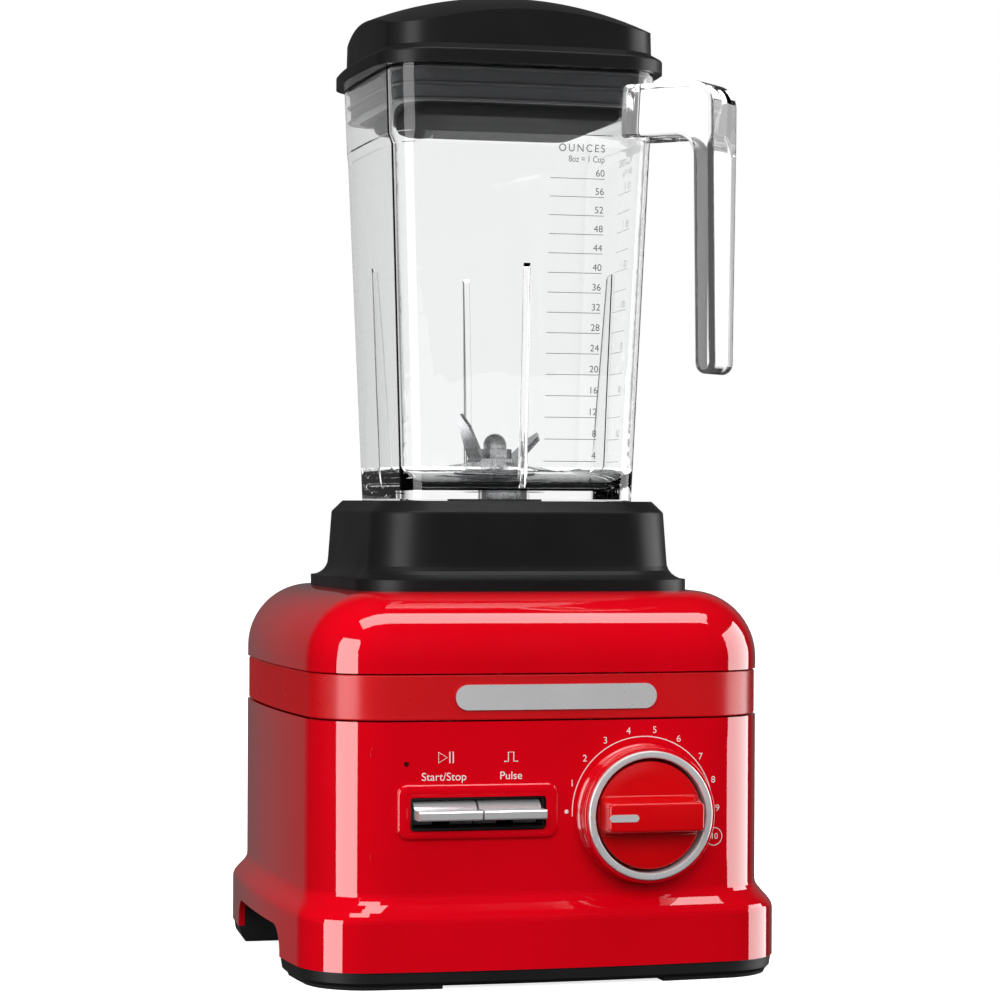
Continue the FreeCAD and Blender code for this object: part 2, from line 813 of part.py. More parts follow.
def paddle_pin():
    length = window_width + 4
    return Part.makeCylinder(paddle_pin_radius, length, Vector(window_x - length / 2, pin_y, pin_z),
                             Vector(1, 0, 0))


def paddle_spring(x):
    """Torsion spring round the pin, with two short legs."""
    height = spring_turns * spring_pitch
    path = Part.makeHelix(spring_pitch, height, spring_radius)
    section = Part.Wire(Part.makeCircle(spring_wire, Vector(spring_radius, 0, 0), Vector(0, 1, 0)))
    coil = path.makePipeShell([section], True, True)
    leg = 3.2
    low_leg = Part.makeCylinder(spring_wire, leg, Vector(spring_radius, 0, 0), Vector(0, -1, 0))
    high_leg = Part.makeCylinder(spring_wire, leg, Vector(spring_radius, 0, height), Vector(0, 1, 0))
    spring = coil.fuse([low_leg, high_leg])
    spring.translate(Vector(0, 0, -height / 2))
    spring.rotate(Vector(0, 0, 0), Vector(0, 1, 0), 90)
    spring.translate(Vector(x, pin_y, pin_z))
    return spring


def paddle_switch(x):
    front = -body_half + board_back
    low = frame_inner_low + 0.4
    z = low + switch_size / 2
    body_front = pin_y + 8.5
    body = box(x - switch_size / 2, x + switch_size / 2, body_front, front, low, low + switch_size)
    plunger = rod(switch_plunger, x, z - 0.6, pin_y + 4.2, body_front + over)
    return body.fuse(plunger).removeSplitter()


# ---- speed dial ----

ring_front = -body_half - ring_proud
ring_outer = bezel_radius - bezel_wall - seat_gap / 4
ring_inner = ring_outer - ring_width
seat_y = -body_half + dial_seat_back
knob_radius = ring_inner - knob_gap
knob_front = ring_front + knob_face_back
grip_front = ring_front - grip_proud


def dial_ring():
    tube = rod(ring_outer, dial_x, dial_z, ring_front, seat_y)
    tube = tube.cut(rod(ring_inner, dial_x, dial_z, ring_front - over, seat_y + over))
    edges = [e for e in tube.Edges if abs(e.BoundBox.YMax - ring_front) < 1e-4]
    return tube.makeFillet(0.8, edges)


def speed_knob():
    plate = rod(knob_radius, dial_x, dial_z, knob_front, knob_front + knob_plate)
    skirt_back = seat_y - free_gap
    skirt = rod(knob_radius, dial_x, dial_z, knob_front, skirt_back)
    skirt = skirt.cut(rod(knob_radius - knob_skirt_wall, dial_x, dial_z, knob_front, skirt_back + over))
    grip = box(dial_x - knob_radius, dial_x + knob_radius, grip_front, knob_front + over,
               dial_z - grip_height / 2, dial_z + grip_height / 2)
    grip = grip.common(rod(knob_radius, dial_x, dial_z, grip_front - over, knob_front + 2))
    front_edges = [e for e in grip.Edges if abs(e.BoundBox.YMax - grip_front) < 1e-4]
    grip = grip.makeFillet(1.2, front_edges)
    hub = rod(encoder_shaft_radius + 3, dial_x, dial_z, knob_front + over, seat_y - encoder_nut_depth - free_gap)
    knob = plate.fuse([skirt, grip, hub])
    knob = knob.cut(encoder_shaft())
    return knob.cut(pointer_block()).removeSplitter()


def pointer_block():
    x = dial_x - pointer_offset
    return round_window(x, dial_z, pointer_length, pointer_height, pointer_height / 2 - 0.05,
                        grip_front - pointer_proud, grip_front + pointer_depth)


def encoder_shaft():
    front = knob_front + 1.2
    back = -body_half + board_back - 3
    shaft = rod(encoder_shaft_radius, dial_x, dial_z, front, back)
    flat_end = seat_y - encoder_nut_depth - free_gap - over
    flat = box(dial_x - clear, dial_x + clear, front - over, flat_end,
               dial_z + encoder_shaft_radius - encoder_shaft_flat, dial_z + clear)
    return shaft.cut(flat)


def speed_encoder():
    wall_in = face_y(dial_x) + casing_wall
    back = -body_half + board_back
    half = encoder_size / 2
    body = box(dial_x - half, dial_x + half, wall_in + over, back, dial_z - half, dial_z + half)
    neck = rod(encoder_neck_radius, dial_x, dial_z, seat_y - encoder_nut_depth - 0.3, wall_in + 2)
    bore = rod(encoder_shaft_radius + run_gap, dial_x, dial_z, -body_half - deep, back - 2)
    return body.fuse(neck).cut(bore).removeSplitter()


def encoder_nut():
    nut = hexagon(2 * encoder_nut_radius, 0, encoder_nut_depth)
    nut = nut.cut(cylinder(encoder_neck_radius + seat_gap / 4, -over, encoder_nut_depth + over))
    nut.rotate(Vector(0, 0, 0), Vector(1, 0, 0), 90)
    nut.translate(Vector(dial_x, seat_y, dial_z))
    return nut


# ---- control board ----

def control_board():
    front = -body_half + board_back
    board = box(-board_half_width, board_half_width, front, front + board_thick, board_low, board_high)
    for x, z in board_holes():
        board = board.cut(rod(board_screw_radius + seat_gap, x, z, front - over, front + board_thick + over))
    return board


def board_holes():
    return [(x, z) for x in (-board_post_x, board_post_x)
            for z in (board_low + board_post_inset, board_high - board_post_inset)]


def board_screws():
    back = -body_half + board_back + board_thick
    screws = []
    for x, z in board_holes():
        head = rod(board_post_radius - over, x, z, back, back + 1.8)
        shank = rod(board_screw_radius, x, z, back - board_thick - board_screw_length + over, back)
        screws.append(head.fuse(shank).removeSplitter())
    return screws


# ---- motor ----

def stator_core():
    half = yoke_flat
    outer = cylinder(yoke_radius, stack_low, stack_top).common(
        box(-yoke_radius, yoke_radius, -half, half, stack_low, stack_top))
    window = cylinder(yoke_radius - yoke_wall, stack_low - over, stack_top + over).common(
        box(-yoke_radius, yoke_radius, -half + yoke_wall, half - yoke_wall, stack_low - over, stack_top + over))
    bore = rotor_radius + air_gap
    shoes = ring(bore + shoe_thick, bore, stack_low, stack_top)
    pieces = []
    for side in (-1, 1):
        x_range = sorted((side * bore * 0.5, side * (bore + shoe_thick + 2)))
        pieces.append(shoes.common(box(x_range[0], x_range[1], -shoe_half, shoe_half, stack_low, stack_top)))
        x_range = sorted((side * (bore + shoe_thick / 2), side * (yoke_radius - yoke_wall + 2)))
        neck = box(x_range[0], x_range[1], -pole_half, pole_half, stack_low, stack_top)
        pieces.append(neck.cut(cylinder(bore, stack_low - over, stack_top + over)))
    core = outer.cut(window).fuse(pieces)
    for side in (-1, 1):
        core = core.cut(cylinder(motor_bolt_radius + bolt_gap, stack_low - over, stack_top + over, side * bolt_x))
    return core.removeSplitter()


def field_coils():
    coils = []
    start = rotor_radius + air_gap + shoe_thick + 0.4
    for side in (-1, 1):
        x_range = sorted((side * start, side * (start + coil_thick)))
        width = pole_half + coil_side
        coil = box(x_range[0], x_range[1], -width, width, stack_low - coil_side, stack_top + coil_side)
        edges = [e for e in coil.Edges if e.BoundBox.XLength > coil_thick * 0.9]
        coil = coil.makeFillet(coil_side * 0.7, edges)
        gap = seat_gap
        coils.append(coil.cut(box(x_range[0] - 1, x_range[1] + 1, -pole_half - gap, pole_half + gap,
                                  stack_low - gap, stack_top + gap)))
    return coils


def armature_core():
    core = ring(rotor_radius, shaft_radius, stack_low, stack_top)
    slot = box(rotor_radius - rotor_slot_depth, rotor_radius + over, -rotor_slot_width / 2, rotor_slot_width / 2,
               stack_low - over, stack_top + over)
    return core.cut(around(slot, rotor_slots))


def armature_windings():
    ends = []
    for low in (stack_low - winding_height, stack_top):
        high = low + winding_height
        ends.append(ring(winding_outer, winding_inner, low, high))
    return ends


def commutator():
    high = commutator_low + commutator_height
    drum = ring(commutator_radius, shaft_radius, commutator_low, high)
    slot = box(commutator_radius - 1.2, commutator_radius + over, -commutator_slot / 2, commutator_slot / 2,
               commutator_low - over, high + over)
    return drum.cut(around(slot, commutator_bars))


def motor_shaft():
    return cylinder(shaft_radius, tunnel_roof + shaft_clear_bottom, socket_z - coupler_below_socket)


def cooling_fan():
    low = tunnel_roof + shaft_clear_bottom + over
    high = low + fan_height
    plate = cylinder(fan_radius, low, low + fan_plate)
    hub = cylinder(fan_hub, low, high)
    blade = box(fan_hub - over, fan_radius - 0.5, -fan_blade_wall / 2, fan_blade_wall / 2, low, high)
    fan = plate.fuse([hub] + around(blade, fan_blades))
    return fan.cut(cylinder(shaft_radius, low - over, high + over)).removeSplitter()


def fan_duct():
    outer = fan_radius + duct_gap + duct_wall
    high = tunnel_roof + duct_height
    wall = ring(outer, outer - duct_wall, tunnel_roof, high)
    lid_plate = ring(outer, duct_intake, high - duct_wall, high)
    window = box(-14, 14, -outer - over, outer + over, tunnel_roof + 3, high - duct_wall - 2)
    return wall.cut([window, turned_z(window, 90)]).fuse(lid_plate).removeSplitter()


def ball_bearing(low):
    return ring(bearing_radius, shaft_radius + run_gap, low, low + bearing_height)


def lower_bracket():
    low = lower_bracket_low
    high = lower_bracket_top
    reach = bolt_x + bracket_arm / 2
    arm = bracket_arm / 2
    bar = box(-reach, reach, -arm, arm, low, high)
    cross = box(-arm, arm, -brush_reach(), brush_reach(), low, high)
    hub = cylinder(bracket_hub, low - 2, high + 2)
    parts = [cross, hub]
    for side in (-1, 1):
        parts.append(cylinder(motor_bolt_radius + 3, low, stack_low, side * bolt_x))
    bracket = bar.fuse(parts)
    bracket = bracket.cut(cylinder(bearing_radius, low - 3, low - 2 + bearing_height))
    bracket = bracket.cut(cylinder(shaft_radius + free_gap, low - 3, high + past))
    for side in (-1, 1):
        bracket = bracket.cut(cylinder(motor_bolt_radius + bolt_gap, low - over, stack_low + over, side * bolt_x))
    return bracket.removeSplitter()


def upper_bracket():
    low = upper_bracket_low
    high = upper_bracket_top
    arm = bracket_arm / 2
    reach = bolt_x + arm
    bar = box(-reach, reach, -arm, arm, low, high)
    diagonal = isolator_place * math.sqrt(2) + arm
    spoke = box(-diagonal, diagonal, -arm, arm, low, high)
    hub = cylinder(bracket_hub, low - 2, high + bearing_height - 3)
    parts = [turned_z(spoke, 45), turned_z(spoke, -45), hub]
    for side in (-1, 1):
        parts.append(cylinder(motor_bolt_radius + 3, stack_top, high, side * bolt_x))
    bracket = bar.fuse(parts)
    bearing_low = high - 3
    bracket = bracket.cut(cylinder(bearing_radius, bearing_low, high + bearing_height))
    bracket = bracket.cut(cylinder(shaft_radius + free_gap, low - 3, high + past))
    for side in (-1, 1):
        bracket = bracket.cut(cylinder(motor_bolt_radius + bolt_gap, stack_top - over, high + over, side * bolt_x))
    for x, y in four_corners(isolator_place):
        bracket = bracket.cut(cylinder(isolator_bore, low - over, high + over, x, y))
    return bracket.removeSplitter()


def brush_reach():
    return commutator_radius + brush_gap + brush_length


brush_z = commutator_low + commutator_height / 2


def carbon_brushes():
    brushes = []
    for side in (-1, 1):
        y_range = sorted((side * commutator_radius * 0.7, side * brush_reach()))
        brush = box(-brush_width / 2, brush_width / 2, y_range[0], y_range[1],
                    brush_z - brush_height / 2, brush_z + brush_height / 2)
        brushes.append(brush.cut(cylinder(commutator_radius + brush_gap, commutator_low - past,
                                          commutator_low + commutator_height + past)))
    return brushes


def brush_holders():
    holders = []
    gap = seat_gap / 2
    for side in (-1, 1):
        y_range = sorted((side * (commutator_radius + 3), side * (brush_reach() + 2)))
        wide = brush_width / 2 + gap + holder_wall
        tall = brush_height / 2 + gap + holder_wall
        shell = box(-wide, wide, y_range[0], y_range[1], brush_z - tall, brush_z + tall)
        foot = box(-wide, wide, y_range[0], y_range[1], lower_bracket_top, brush_z - tall + over)
        foot = foot.cut(cylinder(bracket_hub + gap, 0, lower_bracket_top + 2 + gap))
        hollow = box(-brush_width / 2 - gap, brush_width / 2 + gap, -brush_reach() - gap, brush_reach() + gap,
                     brush_z - brush_height / 2 - gap, brush_z + brush_height / 2 + gap)
        holders.append(shell.fuse(foot).cut(hollow).removeSplitter())
    return holders


def motor_bolts():
    bolts = []
    for side in (-1, 1):
        x = side * bolt_x
        head = cylinder(motor_bolt_radius * 2, lower_bracket_low - 2.2, lower_bracket_low, x)
        shank = cylinder(motor_bolt_radius, lower_bracket_low, upper_bracket_top, x)
        nut = cylinder(motor_bolt_radius * 2, upper_bracket_top, upper_bracket_top + 2.4, x)
        bolts.append(head.fuse([shank, nut]).removeSplitter())
    return bolts


def motor_isolators():
    return [ring(isolator_radius, isolator_bore, upper_bracket_top, isolator_top, x, y)
            for x, y in four_corners(isolator_place)]


def isolator_screws():
    length = isolator_top - upper_bracket_low + screw_bite() - over
    return [screw(casing_screw_radius, length, upper_bracket_low, x, y)
            for x, y in four_corners(isolator_place)]


# ---- drive coupling ----

def lug(low, high):
    half_angle = lug_angle / 2
    sector = Part.makeCylinder(lug_outer, high - low, Vector(0, 0, low), Vector(0, 0, 1), lug_angle)
    sector = sector.cut(cylinder(lug_inner, low - over, high + over))
    return turned_z(sector, -half_angle)


def drive_coupler():
    disc = cylinder(coupler_radius, lug_low - coupler_disc, lug_low)
    hub = cylinder(coupler_hub, cover_top + over, lug_low)
    body = disc.fuse([hub] + around(lug(lug_low - over, lug_high), coupler_lugs))
    return body.cut(cylinder(shaft_radius, cover_top - over, lug_low)).removeSplitter()


def jar_coupler():
    low = lug_low + free_gap
    face = lug_high + free_gap
    high = face + coupler_disc
    disc = cylinder(coupler_radius, face, high)
    lugs = around(lug(low, face + over), coupler_lugs, 180.0 / coupler_lugs)
    return disc.fuse(lugs).cut(cylinder(spindle_radius, face + over, high + over)).removeSplitter()


# ---- jar ----

def jar_half(z):
    return jar_foot_half + (z - socket_z) * jar_draft


def jar_level(z, offset=0.0, corner=None):
    corner = jar_corner if corner is None else corner
    return (jar_half(z) + offset, jar_side_radius + offset, corner + offset, z)


def jar_outer_levels():
    rim_z = socket_z + jar_rim_start
    swell = jar_rim_swell
    blend_z = rim_z + jar_rim_blend
    return [jar_level(socket_z), jar_level(rim_z),
            (jar_half(blend_z) + swell, jar_side_radius, jar_rim_corner, blend_z),
            (jar_half(jar_rim) + swell, jar_side_radius, jar_rim_corner, jar_rim)]


def jar_cavity():
    rim_z = socket_z + jar_rim_start
    swell = jar_rim_swell
    blend_z = rim_z + jar_rim_blend
    wall = jar_wall
    low = stack([jar_level(jar_floor_top, -wall), jar_level(rim_z, -wall)])
    bottom = [e for e in low.Edges if abs(e.BoundBox.ZMax - jar_floor_top) < 1e-4]
    low = low.makeFillet(jar_floor_round, bottom)
    high = stack([jar_level(rim_z, -wall),
                  (jar_half(blend_z) + swell - wall, jar_side_radius, jar_rim_corner - wall, blend_z),
                  (jar_half(jar_rim) + swell - wall, jar_side_radius, jar_rim_corner - wall, jar_rim + over)])
    return low.fuse(high)


def jar_rib():
    """Upright fin inside the wall at +X, deeper at the floor."""
    top = socket_z + rib_top
    half_low = jar_half(jar_floor_top) - jar_wall
    half_high = jar_half(top) - jar_wall
    points = [Vector(half_low + over, 0, jar_floor_low + over),
              Vector(half_low - rib_depth_low, 0, jar_floor_low + over),
              Vector(half_high - rib_depth_high, 0, top - rib_depth_high),
              Vector(half_high + over, 0, top)]
    fin = polygon_prism(points, Vector(0, rib_width, 0))
    fin.translate(Vector(0, -rib_width / 2, 0))
    inside = half_high - rib_depth_high + touch
    nose = [e for e in fin.Edges if middle_of(e).z > jar_floor_low + clear and middle_of(e).x < inside]
    return fin.makeFillet(rib_nose, nose)


def corner_reach(half, side, corner):
    """Distance from the axis to an outline's corner along the diagonal."""
    depth = side - half
    reach = side - corner
    centre = (math.sqrt(2 * reach * reach - depth * depth) - depth) / 2
    return centre * math.sqrt(2) + corner


def jar_handle():
    """Strap handle along +X, before it is turned onto the corner."""
    arm_low = handle_top - handle_arm
    root = corner_reach(jar_half(arm_low), jar_side_radius, jar_corner)
    inner = root + handle_finger_gap
    outer = inner + handle_thick
    end = handle_top - handle_length
    start = root - jar_wall - 3
    tip = handle_thick / 2

    def at(x, z):
        return Vector(x, 0, z)

    slope = math.sqrt(0.5)
    outer_mid = at(outer - handle_outer_round * (1 - slope), handle_top - handle_outer_round * (1 - slope))
    inner_mid = at(inner - handle_inner_round * (1 - slope), arm_low - handle_inner_round * (1 - slope))
    edges = [
        Part.makeLine(at(start, arm_low), at(start, handle_top)),
        Part.makeLine(at(start, handle_top), at(outer - handle_outer_round, handle_top)),
        Part.Arc(at(outer - handle_outer_round, handle_top), outer_mid,
                 at(outer, handle_top - handle_outer_round)).toShape(),
        Part.makeLine(at(outer, handle_top - handle_outer_round), at(outer, end + tip)),
        Part.Arc(at(outer, end + tip), at(outer - tip, end), at(inner, end + tip)).toShape(),
        Part.makeLine(at(inner, end + tip), at(inner, arm_low - handle_inner_round)),
        Part.Arc(at(inner, arm_low - handle_inner_round), inner_mid,
                 at(inner - handle_inner_round, arm_low)).toShape(),
        Part.makeLine(at(inner - handle_inner_round, arm_low), at(start, arm_low))]
    wide = handle_width_top
    strap = Part.Face(Part.Wire(edges)).extrude(Vector(0, wide, 0))
    strap.translate(Vector(0, -wide / 2, 0))
    top_half = handle_width_top / 2
    low_half = handle_width_bottom / 2
    trim = polygon_prism([Vector(0, -top_half, handle_top + over), Vector(0, top_half, handle_top + over),
                          Vector(0, top_half, handle_top - handle_arm),
                          Vector(0, low_half, end - over), Vector(0, -low_half, end - over),
                          Vector(0, -top_half, handle_top - handle_arm)], Vector(outer + clear, 0, 0))
    strap = strap.common(trim)
    edges = [e for e in strap.Edges if on_handle_outside(e, outer)]
    return strap.makeFillet(handle_edge, edges)


def on_handle_outside(edge, outer):
    """True for the long edges along the strap's outer face."""
    middle = middle_of(edge)
    bend = handle_outer_round
    beside = abs(middle.y) > handle_width_bottom / 2 - handle_edge
    high = middle.z > handle_top - bend and (middle.x > outer - bend or middle.z > handle_top - touch)
    return beside and (middle.x > outer - touch or high)


def jar():
    outer = stack(jar_outer_levels())
    foot_inner = inward([jar_level(socket_z - over), jar_level(jar_floor_low)], jar_foot_wall)
    handle = turned_z(jar_handle(), -45)
    cavity = jar_cavity()
    body = outer.fuse(handle).cut([cavity, stack(foot_inner)])
    ribs = [rib.common(outer) for rib in around(jar_rib(), 4)]
    body = body.fuse(ribs)
    return body.cut(cylinder(tube_radius + seat_gap, jar_floor_low - over, jar_floor_top + over)).removeSplitter()


# ---- blade unit ----

hub_low = jar_floor_top + gasket_height
hub_top = hub_low + hub_flange_height + hub_height
tube_low = jar_floor_low - tube_below_floor
blade_low = hub_top + free_gap + spindle_collar_height
blade_mid = blade_low + blade_thick
blade_top = blade_mid + blade_thick


def blade_base():
    flange = cylinder(hub_flange, hub_low, hub_low + hub_flange_height)
    cone = Part.makeCone(hub_low_radius, hub_top_radius, hub_height,
                         Vector(0, 0, hub_low + hub_flange_height))
    tube = cylinder(tube_radius, tube_low, hub_low + over)
    body = flange.fuse([cone, tube])
    body = body.cut(cylinder(tube_bore, tube_low - over, hub_top - 2))
    return body.cut(cylinder(spindle_radius + free_gap, tube_low - over, hub_top + over)).removeSplitter()


def jar_gasket():
    return ring(hub_flange, tube_radius + seat_gap, jar_floor_top, hub_low)


def retaining_nut():
    low = jar_floor_low - nut_height
    nut = ring(nut_radius, tube_radius + seat_gap / 4, low, jar_floor_low)
    notch = box(nut_radius - 2.5, nut_radius + over, -3, 3, low - over, jar_floor_low - 2.5)
    return nut.cut(around(notch, 8))


def spindle_bearings():
    lows = (tube_low + over, hub_top - 2 - spindle_bearing_height)
    return [ring(tube_bore, spindle_radius + run_gap, low, low + spindle_bearing_height) for low in lows]


def spindle():
    low = lug_high + free_gap + over
    shaft = cylinder(spindle_radius, low, blade_top + cap_thread_depth)
    collar = cylinder(spindle_collar_radius, hub_top + free_gap, blade_low)
    return shaft.fuse(collar).removeSplitter()


def wing(angle, tilt, length, low):
    """One blade wing: a flat root, a bend at the hub's edge, then a tapered bevelled tip."""
    bend = blade_hub - over
    root = box(0, bend, -blade_width / 2, blade_width / 2, low, low + blade_thick)
    half = blade_width / 2
    points = [Vector(0, -half, 0), Vector(length * 0.8, -half * 0.75, 0), Vector(length, half * 0.1, 0),
              Vector(length * 0.75, half * 0.7, 0), Vector(0, half, 0)]
    blade = polygon_prism(points, Vector(0, 0, blade_thick))
    bevel = polygon_prism([Vector(-1, -half - over, blade_thick + 0.01), Vector(-1, -half + 3, blade_thick + 0.01),
                           Vector(-1, -half - over, blade_thick * 0.15)], Vector(length + 2, 0, 0))
    blade = blade.cut(bevel)
    blade.rotate(Vector(0, 0, 0), Vector(0, 1, 0), -tilt)
    knuckle = Part.makeCylinder(blade_thick, blade_width, Vector(0, -half, 0), Vector(0, 1, 0))
    keep_above = box(-past, 5, -half, half, 0, 5) if tilt > 0 else box(-past, 5, -half, half, -past, blade_thick)
    blade.translate(Vector(bend, 0, low))
    knuckle = knuckle.common(keep_above)
    knuckle.translate(Vector(bend, 0, low))
    return turned_z(root.fuse([blade, knuckle]), angle + blade_turn)


def blade_pair(wings, low):
    hub = cylinder(blade_hub, low, low + blade_thick)
    pair = hub.fuse([wing(angle, tilt, length, low) for angle, tilt, length in wings])
    return pair.cut(cylinder(spindle_radius, low - over, low + far)).removeSplitter()


def cap_nut():
    hex_top = blade_top + cap_hex_height
    dome_centre = blade_top + cap_height - cap_dome_radius
    body = hexagon(cap_across, blade_top, hex_top)
    neck = cylinder(cap_dome_radius, blade_top, dome_centre)
    dome = Part.makeSphere(cap_dome_radius, Vector(0, 0, dome_centre))
    dome = dome.common(cylinder(cap_dome_radius + over, dome_centre, blade_top + cap_height + over))
    nut = body.fuse([neck, dome])
    return nut.cut(cylinder(spindle_radius, blade_top - over, blade_top + cap_thread_depth)).removeSplitter()


# ---- lid ----

def lid_levels():
    low = jar_rim
    flange_top = low + lid_flange_height
    ledge_top = flange_top + lid_ledge_height
    return [(lid_flange_half, lid_side_radius, lid_flange_corner, low),
            (lid_flange_half, lid_side_radius, lid_flange_corner, flange_top),
            (lid_body_half, lid_side_radius, lid_body_corner, ledge_top),
            (lid_body_top_half, lid_side_radius, lid_body_corner, low + lid_height + 2)]


def lid():
    top = jar_rim + lid_height
    dome = Part.makeSphere(lid_dome_radius, Vector(0, 0, top - lid_dome_radius))
    outer = stack(lid_levels()).common(dome)
    inner_levels = inward(lid_levels(), lid_wall)
    base = inner_levels[0]
    inner_levels[0] = (base[0], base[1], base[2], jar_rim - over)
    inner_dome = Part.makeSphere(lid_dome_radius - lid_wall, Vector(0, 0, top - lid_dome_radius))
    inner = stack(inner_levels).common(inner_dome)
    shell = outer.cut(inner)
    seat = slab(lid_flange_half - lid_wall / 2, lid_side_radius, lid_flange_corner - lid_wall / 2,
                jar_rim, jar_rim + lid_wall)
    hole = slab(plug_half(), jar_side_radius, plug_corner(), jar_rim - over, jar_rim + lid_wall + over)
    shell = shell.fuse(seat.cut(hole)).removeSplitter()
    return shell.makeFillet(lid_edge, level_edges(shell, jar_rim + lid_flange_height))


def plug_half():
    """Half width of the plug where it passes the rim's plane."""
    return jar_half(jar_rim - plug_depth) - jar_wall - plug_clearance


def plug_corner():
    return jar_rim_corner - jar_wall - over


def seal_levels():
    high = jar_rim - seal_below_rim
    return high - seal_height, high


def plug_step(inset, low, high):
    """Straight part of the plug, inset from its outside."""
    return slab(plug_half() - inset, jar_side_radius - inset, plug_corner() - inset, low, high)


def lid_plug():
    low = jar_rim - plug_depth
    high = jar_rim + lid_wall
    step = seal_levels()[0]
    dish_inset = seat_gap + dish_clearance - plug_clearance
    dish = plug_step(dish_inset, low, step + over)
    bottom = [e for e in dish.Edges if abs(e.BoundBox.ZMax - low) < 1e-4]
    dish = dish.makeFillet(plug_round, bottom)
    wall = lid_wall
    hollow = plug_step(dish_inset + wall, low + wall, step + wall + over)
    bottom = [e for e in hollow.Edges if abs(e.BoundBox.ZMax - low - wall) < 1e-4]
    hollow = hollow.makeFillet(plug_round - wall, bottom)
    block = plug_step(seat_gap, step, high).fuse(dish)
    return block.cut([hollow, plug_step(seat_gap + wall, step + wall, high + over)]).removeSplitter()


def lid_seal():
    low, high = seal_levels()
    tip_inset = jar_wall + seal_squeeze_gap
    swell = jar_rim_swell

    def level(z, depth):
        inset = tip_inset + depth
        return (jar_half(z) + swell - inset, jar_side_radius - inset, jar_rim_corner - inset, z)

    body = stack([level(low, seal_rib_depth), level(high, seal_rib_depth)])
    pitch = (seal_height - seal_rib_height) / (seal_rib_count - 1)
    for i in range(seal_rib_count):
        z = low + i * pitch
        body = body.fuse(stack([level(z, seal_rib_depth * 0.5), level(z + seal_rib_height / 2, 0.0),
                                level(z + seal_rib_height, seal_rib_depth * 0.5)]))
    bore = slab(plug_half(), jar_side_radius, plug_corner(), low - over, high + over)
    return body.cut(bore).removeSplitter()


save("lower_housing", lower_housing())
save("trim_band", trim_band())
save("upper_cover", upper_cover())
save("jar_collar", jar_collar())
save("bottom_pan", bottom_pan())
save("rubber_feet", rubber_feet())
save("casing_screws", casing_screws())
save("collar_screws", collar_screws())
save("cord_inlet", cord_inlet())
save("nameplate", nameplate())
save("light_lens", light_lens())

save("paddle_frame", paddle_frame())
save("start_paddle", paddle(start_x))
save("pulse_paddle", paddle(pulse_x))
save("paddle_pin", paddle_pin())
save("start_spring", paddle_spring(start_x))
save("pulse_spring", paddle_spring(pulse_x))
save("start_switch", paddle_switch(start_x))
save("pulse_switch", paddle_switch(pulse_x))

save("dial_ring", dial_ring())
save("speed_knob", speed_knob())
save("knob_pointer", pointer_block())
save("encoder_shaft", encoder_shaft())
save("speed_encoder", speed_encoder())
save("encoder_nut", encoder_nut())
save("control_board", control_board())
save("board_screws", board_screws())

save("stator_core", stator_core())
save("field_coils", field_coils())
save("armature_core", armature_core())
save("armature_windings", armature_windings())
save("commutator", commutator())
save("motor_shaft", motor_shaft())
save("cooling_fan", cooling_fan())
save("fan_duct", fan_duct())
save("lower_bearing", ball_bearing(lower_bracket_low - 2))
save("upper_bearing", ball_bearing(upper_bracket_top - 3))
save("lower_bracket", lower_bracket())
save("upper_bracket", upper_bracket())
save("carbon_brushes", carbon_brushes())
save("brush_holders", brush_holders())
save("motor_bolts", motor_bolts())
save("motor_isolators", motor_isolators())
save("isolator_screws", isolator_screws())
save("drive_coupler", drive_coupler())

save("jar", jar())
save("blade_base", blade_base())
save("jar_gasket", jar_gasket())
save("retaining_nut", retaining_nut())
save("spindle_bearings", spindle_bearings())
save("jar_coupler", jar_coupler())
save("spindle", spindle())
save("lower_blade", blade_pair(lower_wings, blade_low))
save("upper_blade", blade_pair(upper_wings, blade_mid))
save("cap_nut", cap_nut())

save("lid", lid())
save("lid_plug", lid_plug())
save("lid_seal", lid_seal())
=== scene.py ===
import json
import math
import bmesh
import bpy
from mathutils import Matrix, Vector

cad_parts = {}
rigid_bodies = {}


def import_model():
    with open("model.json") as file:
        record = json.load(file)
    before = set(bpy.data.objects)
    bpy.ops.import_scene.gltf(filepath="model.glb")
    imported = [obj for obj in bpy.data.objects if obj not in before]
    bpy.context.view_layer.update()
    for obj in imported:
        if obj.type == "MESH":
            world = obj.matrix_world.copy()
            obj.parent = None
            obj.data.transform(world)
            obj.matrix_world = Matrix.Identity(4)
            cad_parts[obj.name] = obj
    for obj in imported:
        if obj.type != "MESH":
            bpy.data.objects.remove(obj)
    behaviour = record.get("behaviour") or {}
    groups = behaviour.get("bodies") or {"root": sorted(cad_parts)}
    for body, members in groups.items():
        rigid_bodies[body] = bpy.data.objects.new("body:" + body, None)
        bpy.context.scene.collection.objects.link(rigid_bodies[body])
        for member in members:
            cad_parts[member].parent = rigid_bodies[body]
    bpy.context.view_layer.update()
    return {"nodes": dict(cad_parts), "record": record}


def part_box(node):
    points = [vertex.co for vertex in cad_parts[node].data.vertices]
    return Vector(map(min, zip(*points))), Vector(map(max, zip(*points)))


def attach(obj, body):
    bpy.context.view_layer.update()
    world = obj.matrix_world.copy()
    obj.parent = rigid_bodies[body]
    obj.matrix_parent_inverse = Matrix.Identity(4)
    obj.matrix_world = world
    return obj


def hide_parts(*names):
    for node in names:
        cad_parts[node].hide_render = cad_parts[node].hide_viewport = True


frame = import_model()
nodes = frame["nodes"]
mm = 0.001
print("frame loaded:", len(nodes), "nodes")


def middle(node):
    low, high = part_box(node)
    return (low + high) / 2


axisY = middle("motor_shaft").y     # the drive axis stands behind the origin
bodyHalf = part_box("upper_cover")[1].x
sideRadius = 0.930                  # the casing's bowed sides


def faceY(x, proud=0.0):
    # the front face at x, on its bow
    radius = sideRadius + proud
    return axisY - (bodyHalf - sideRadius + math.sqrt(radius ** 2 - x ** 2))


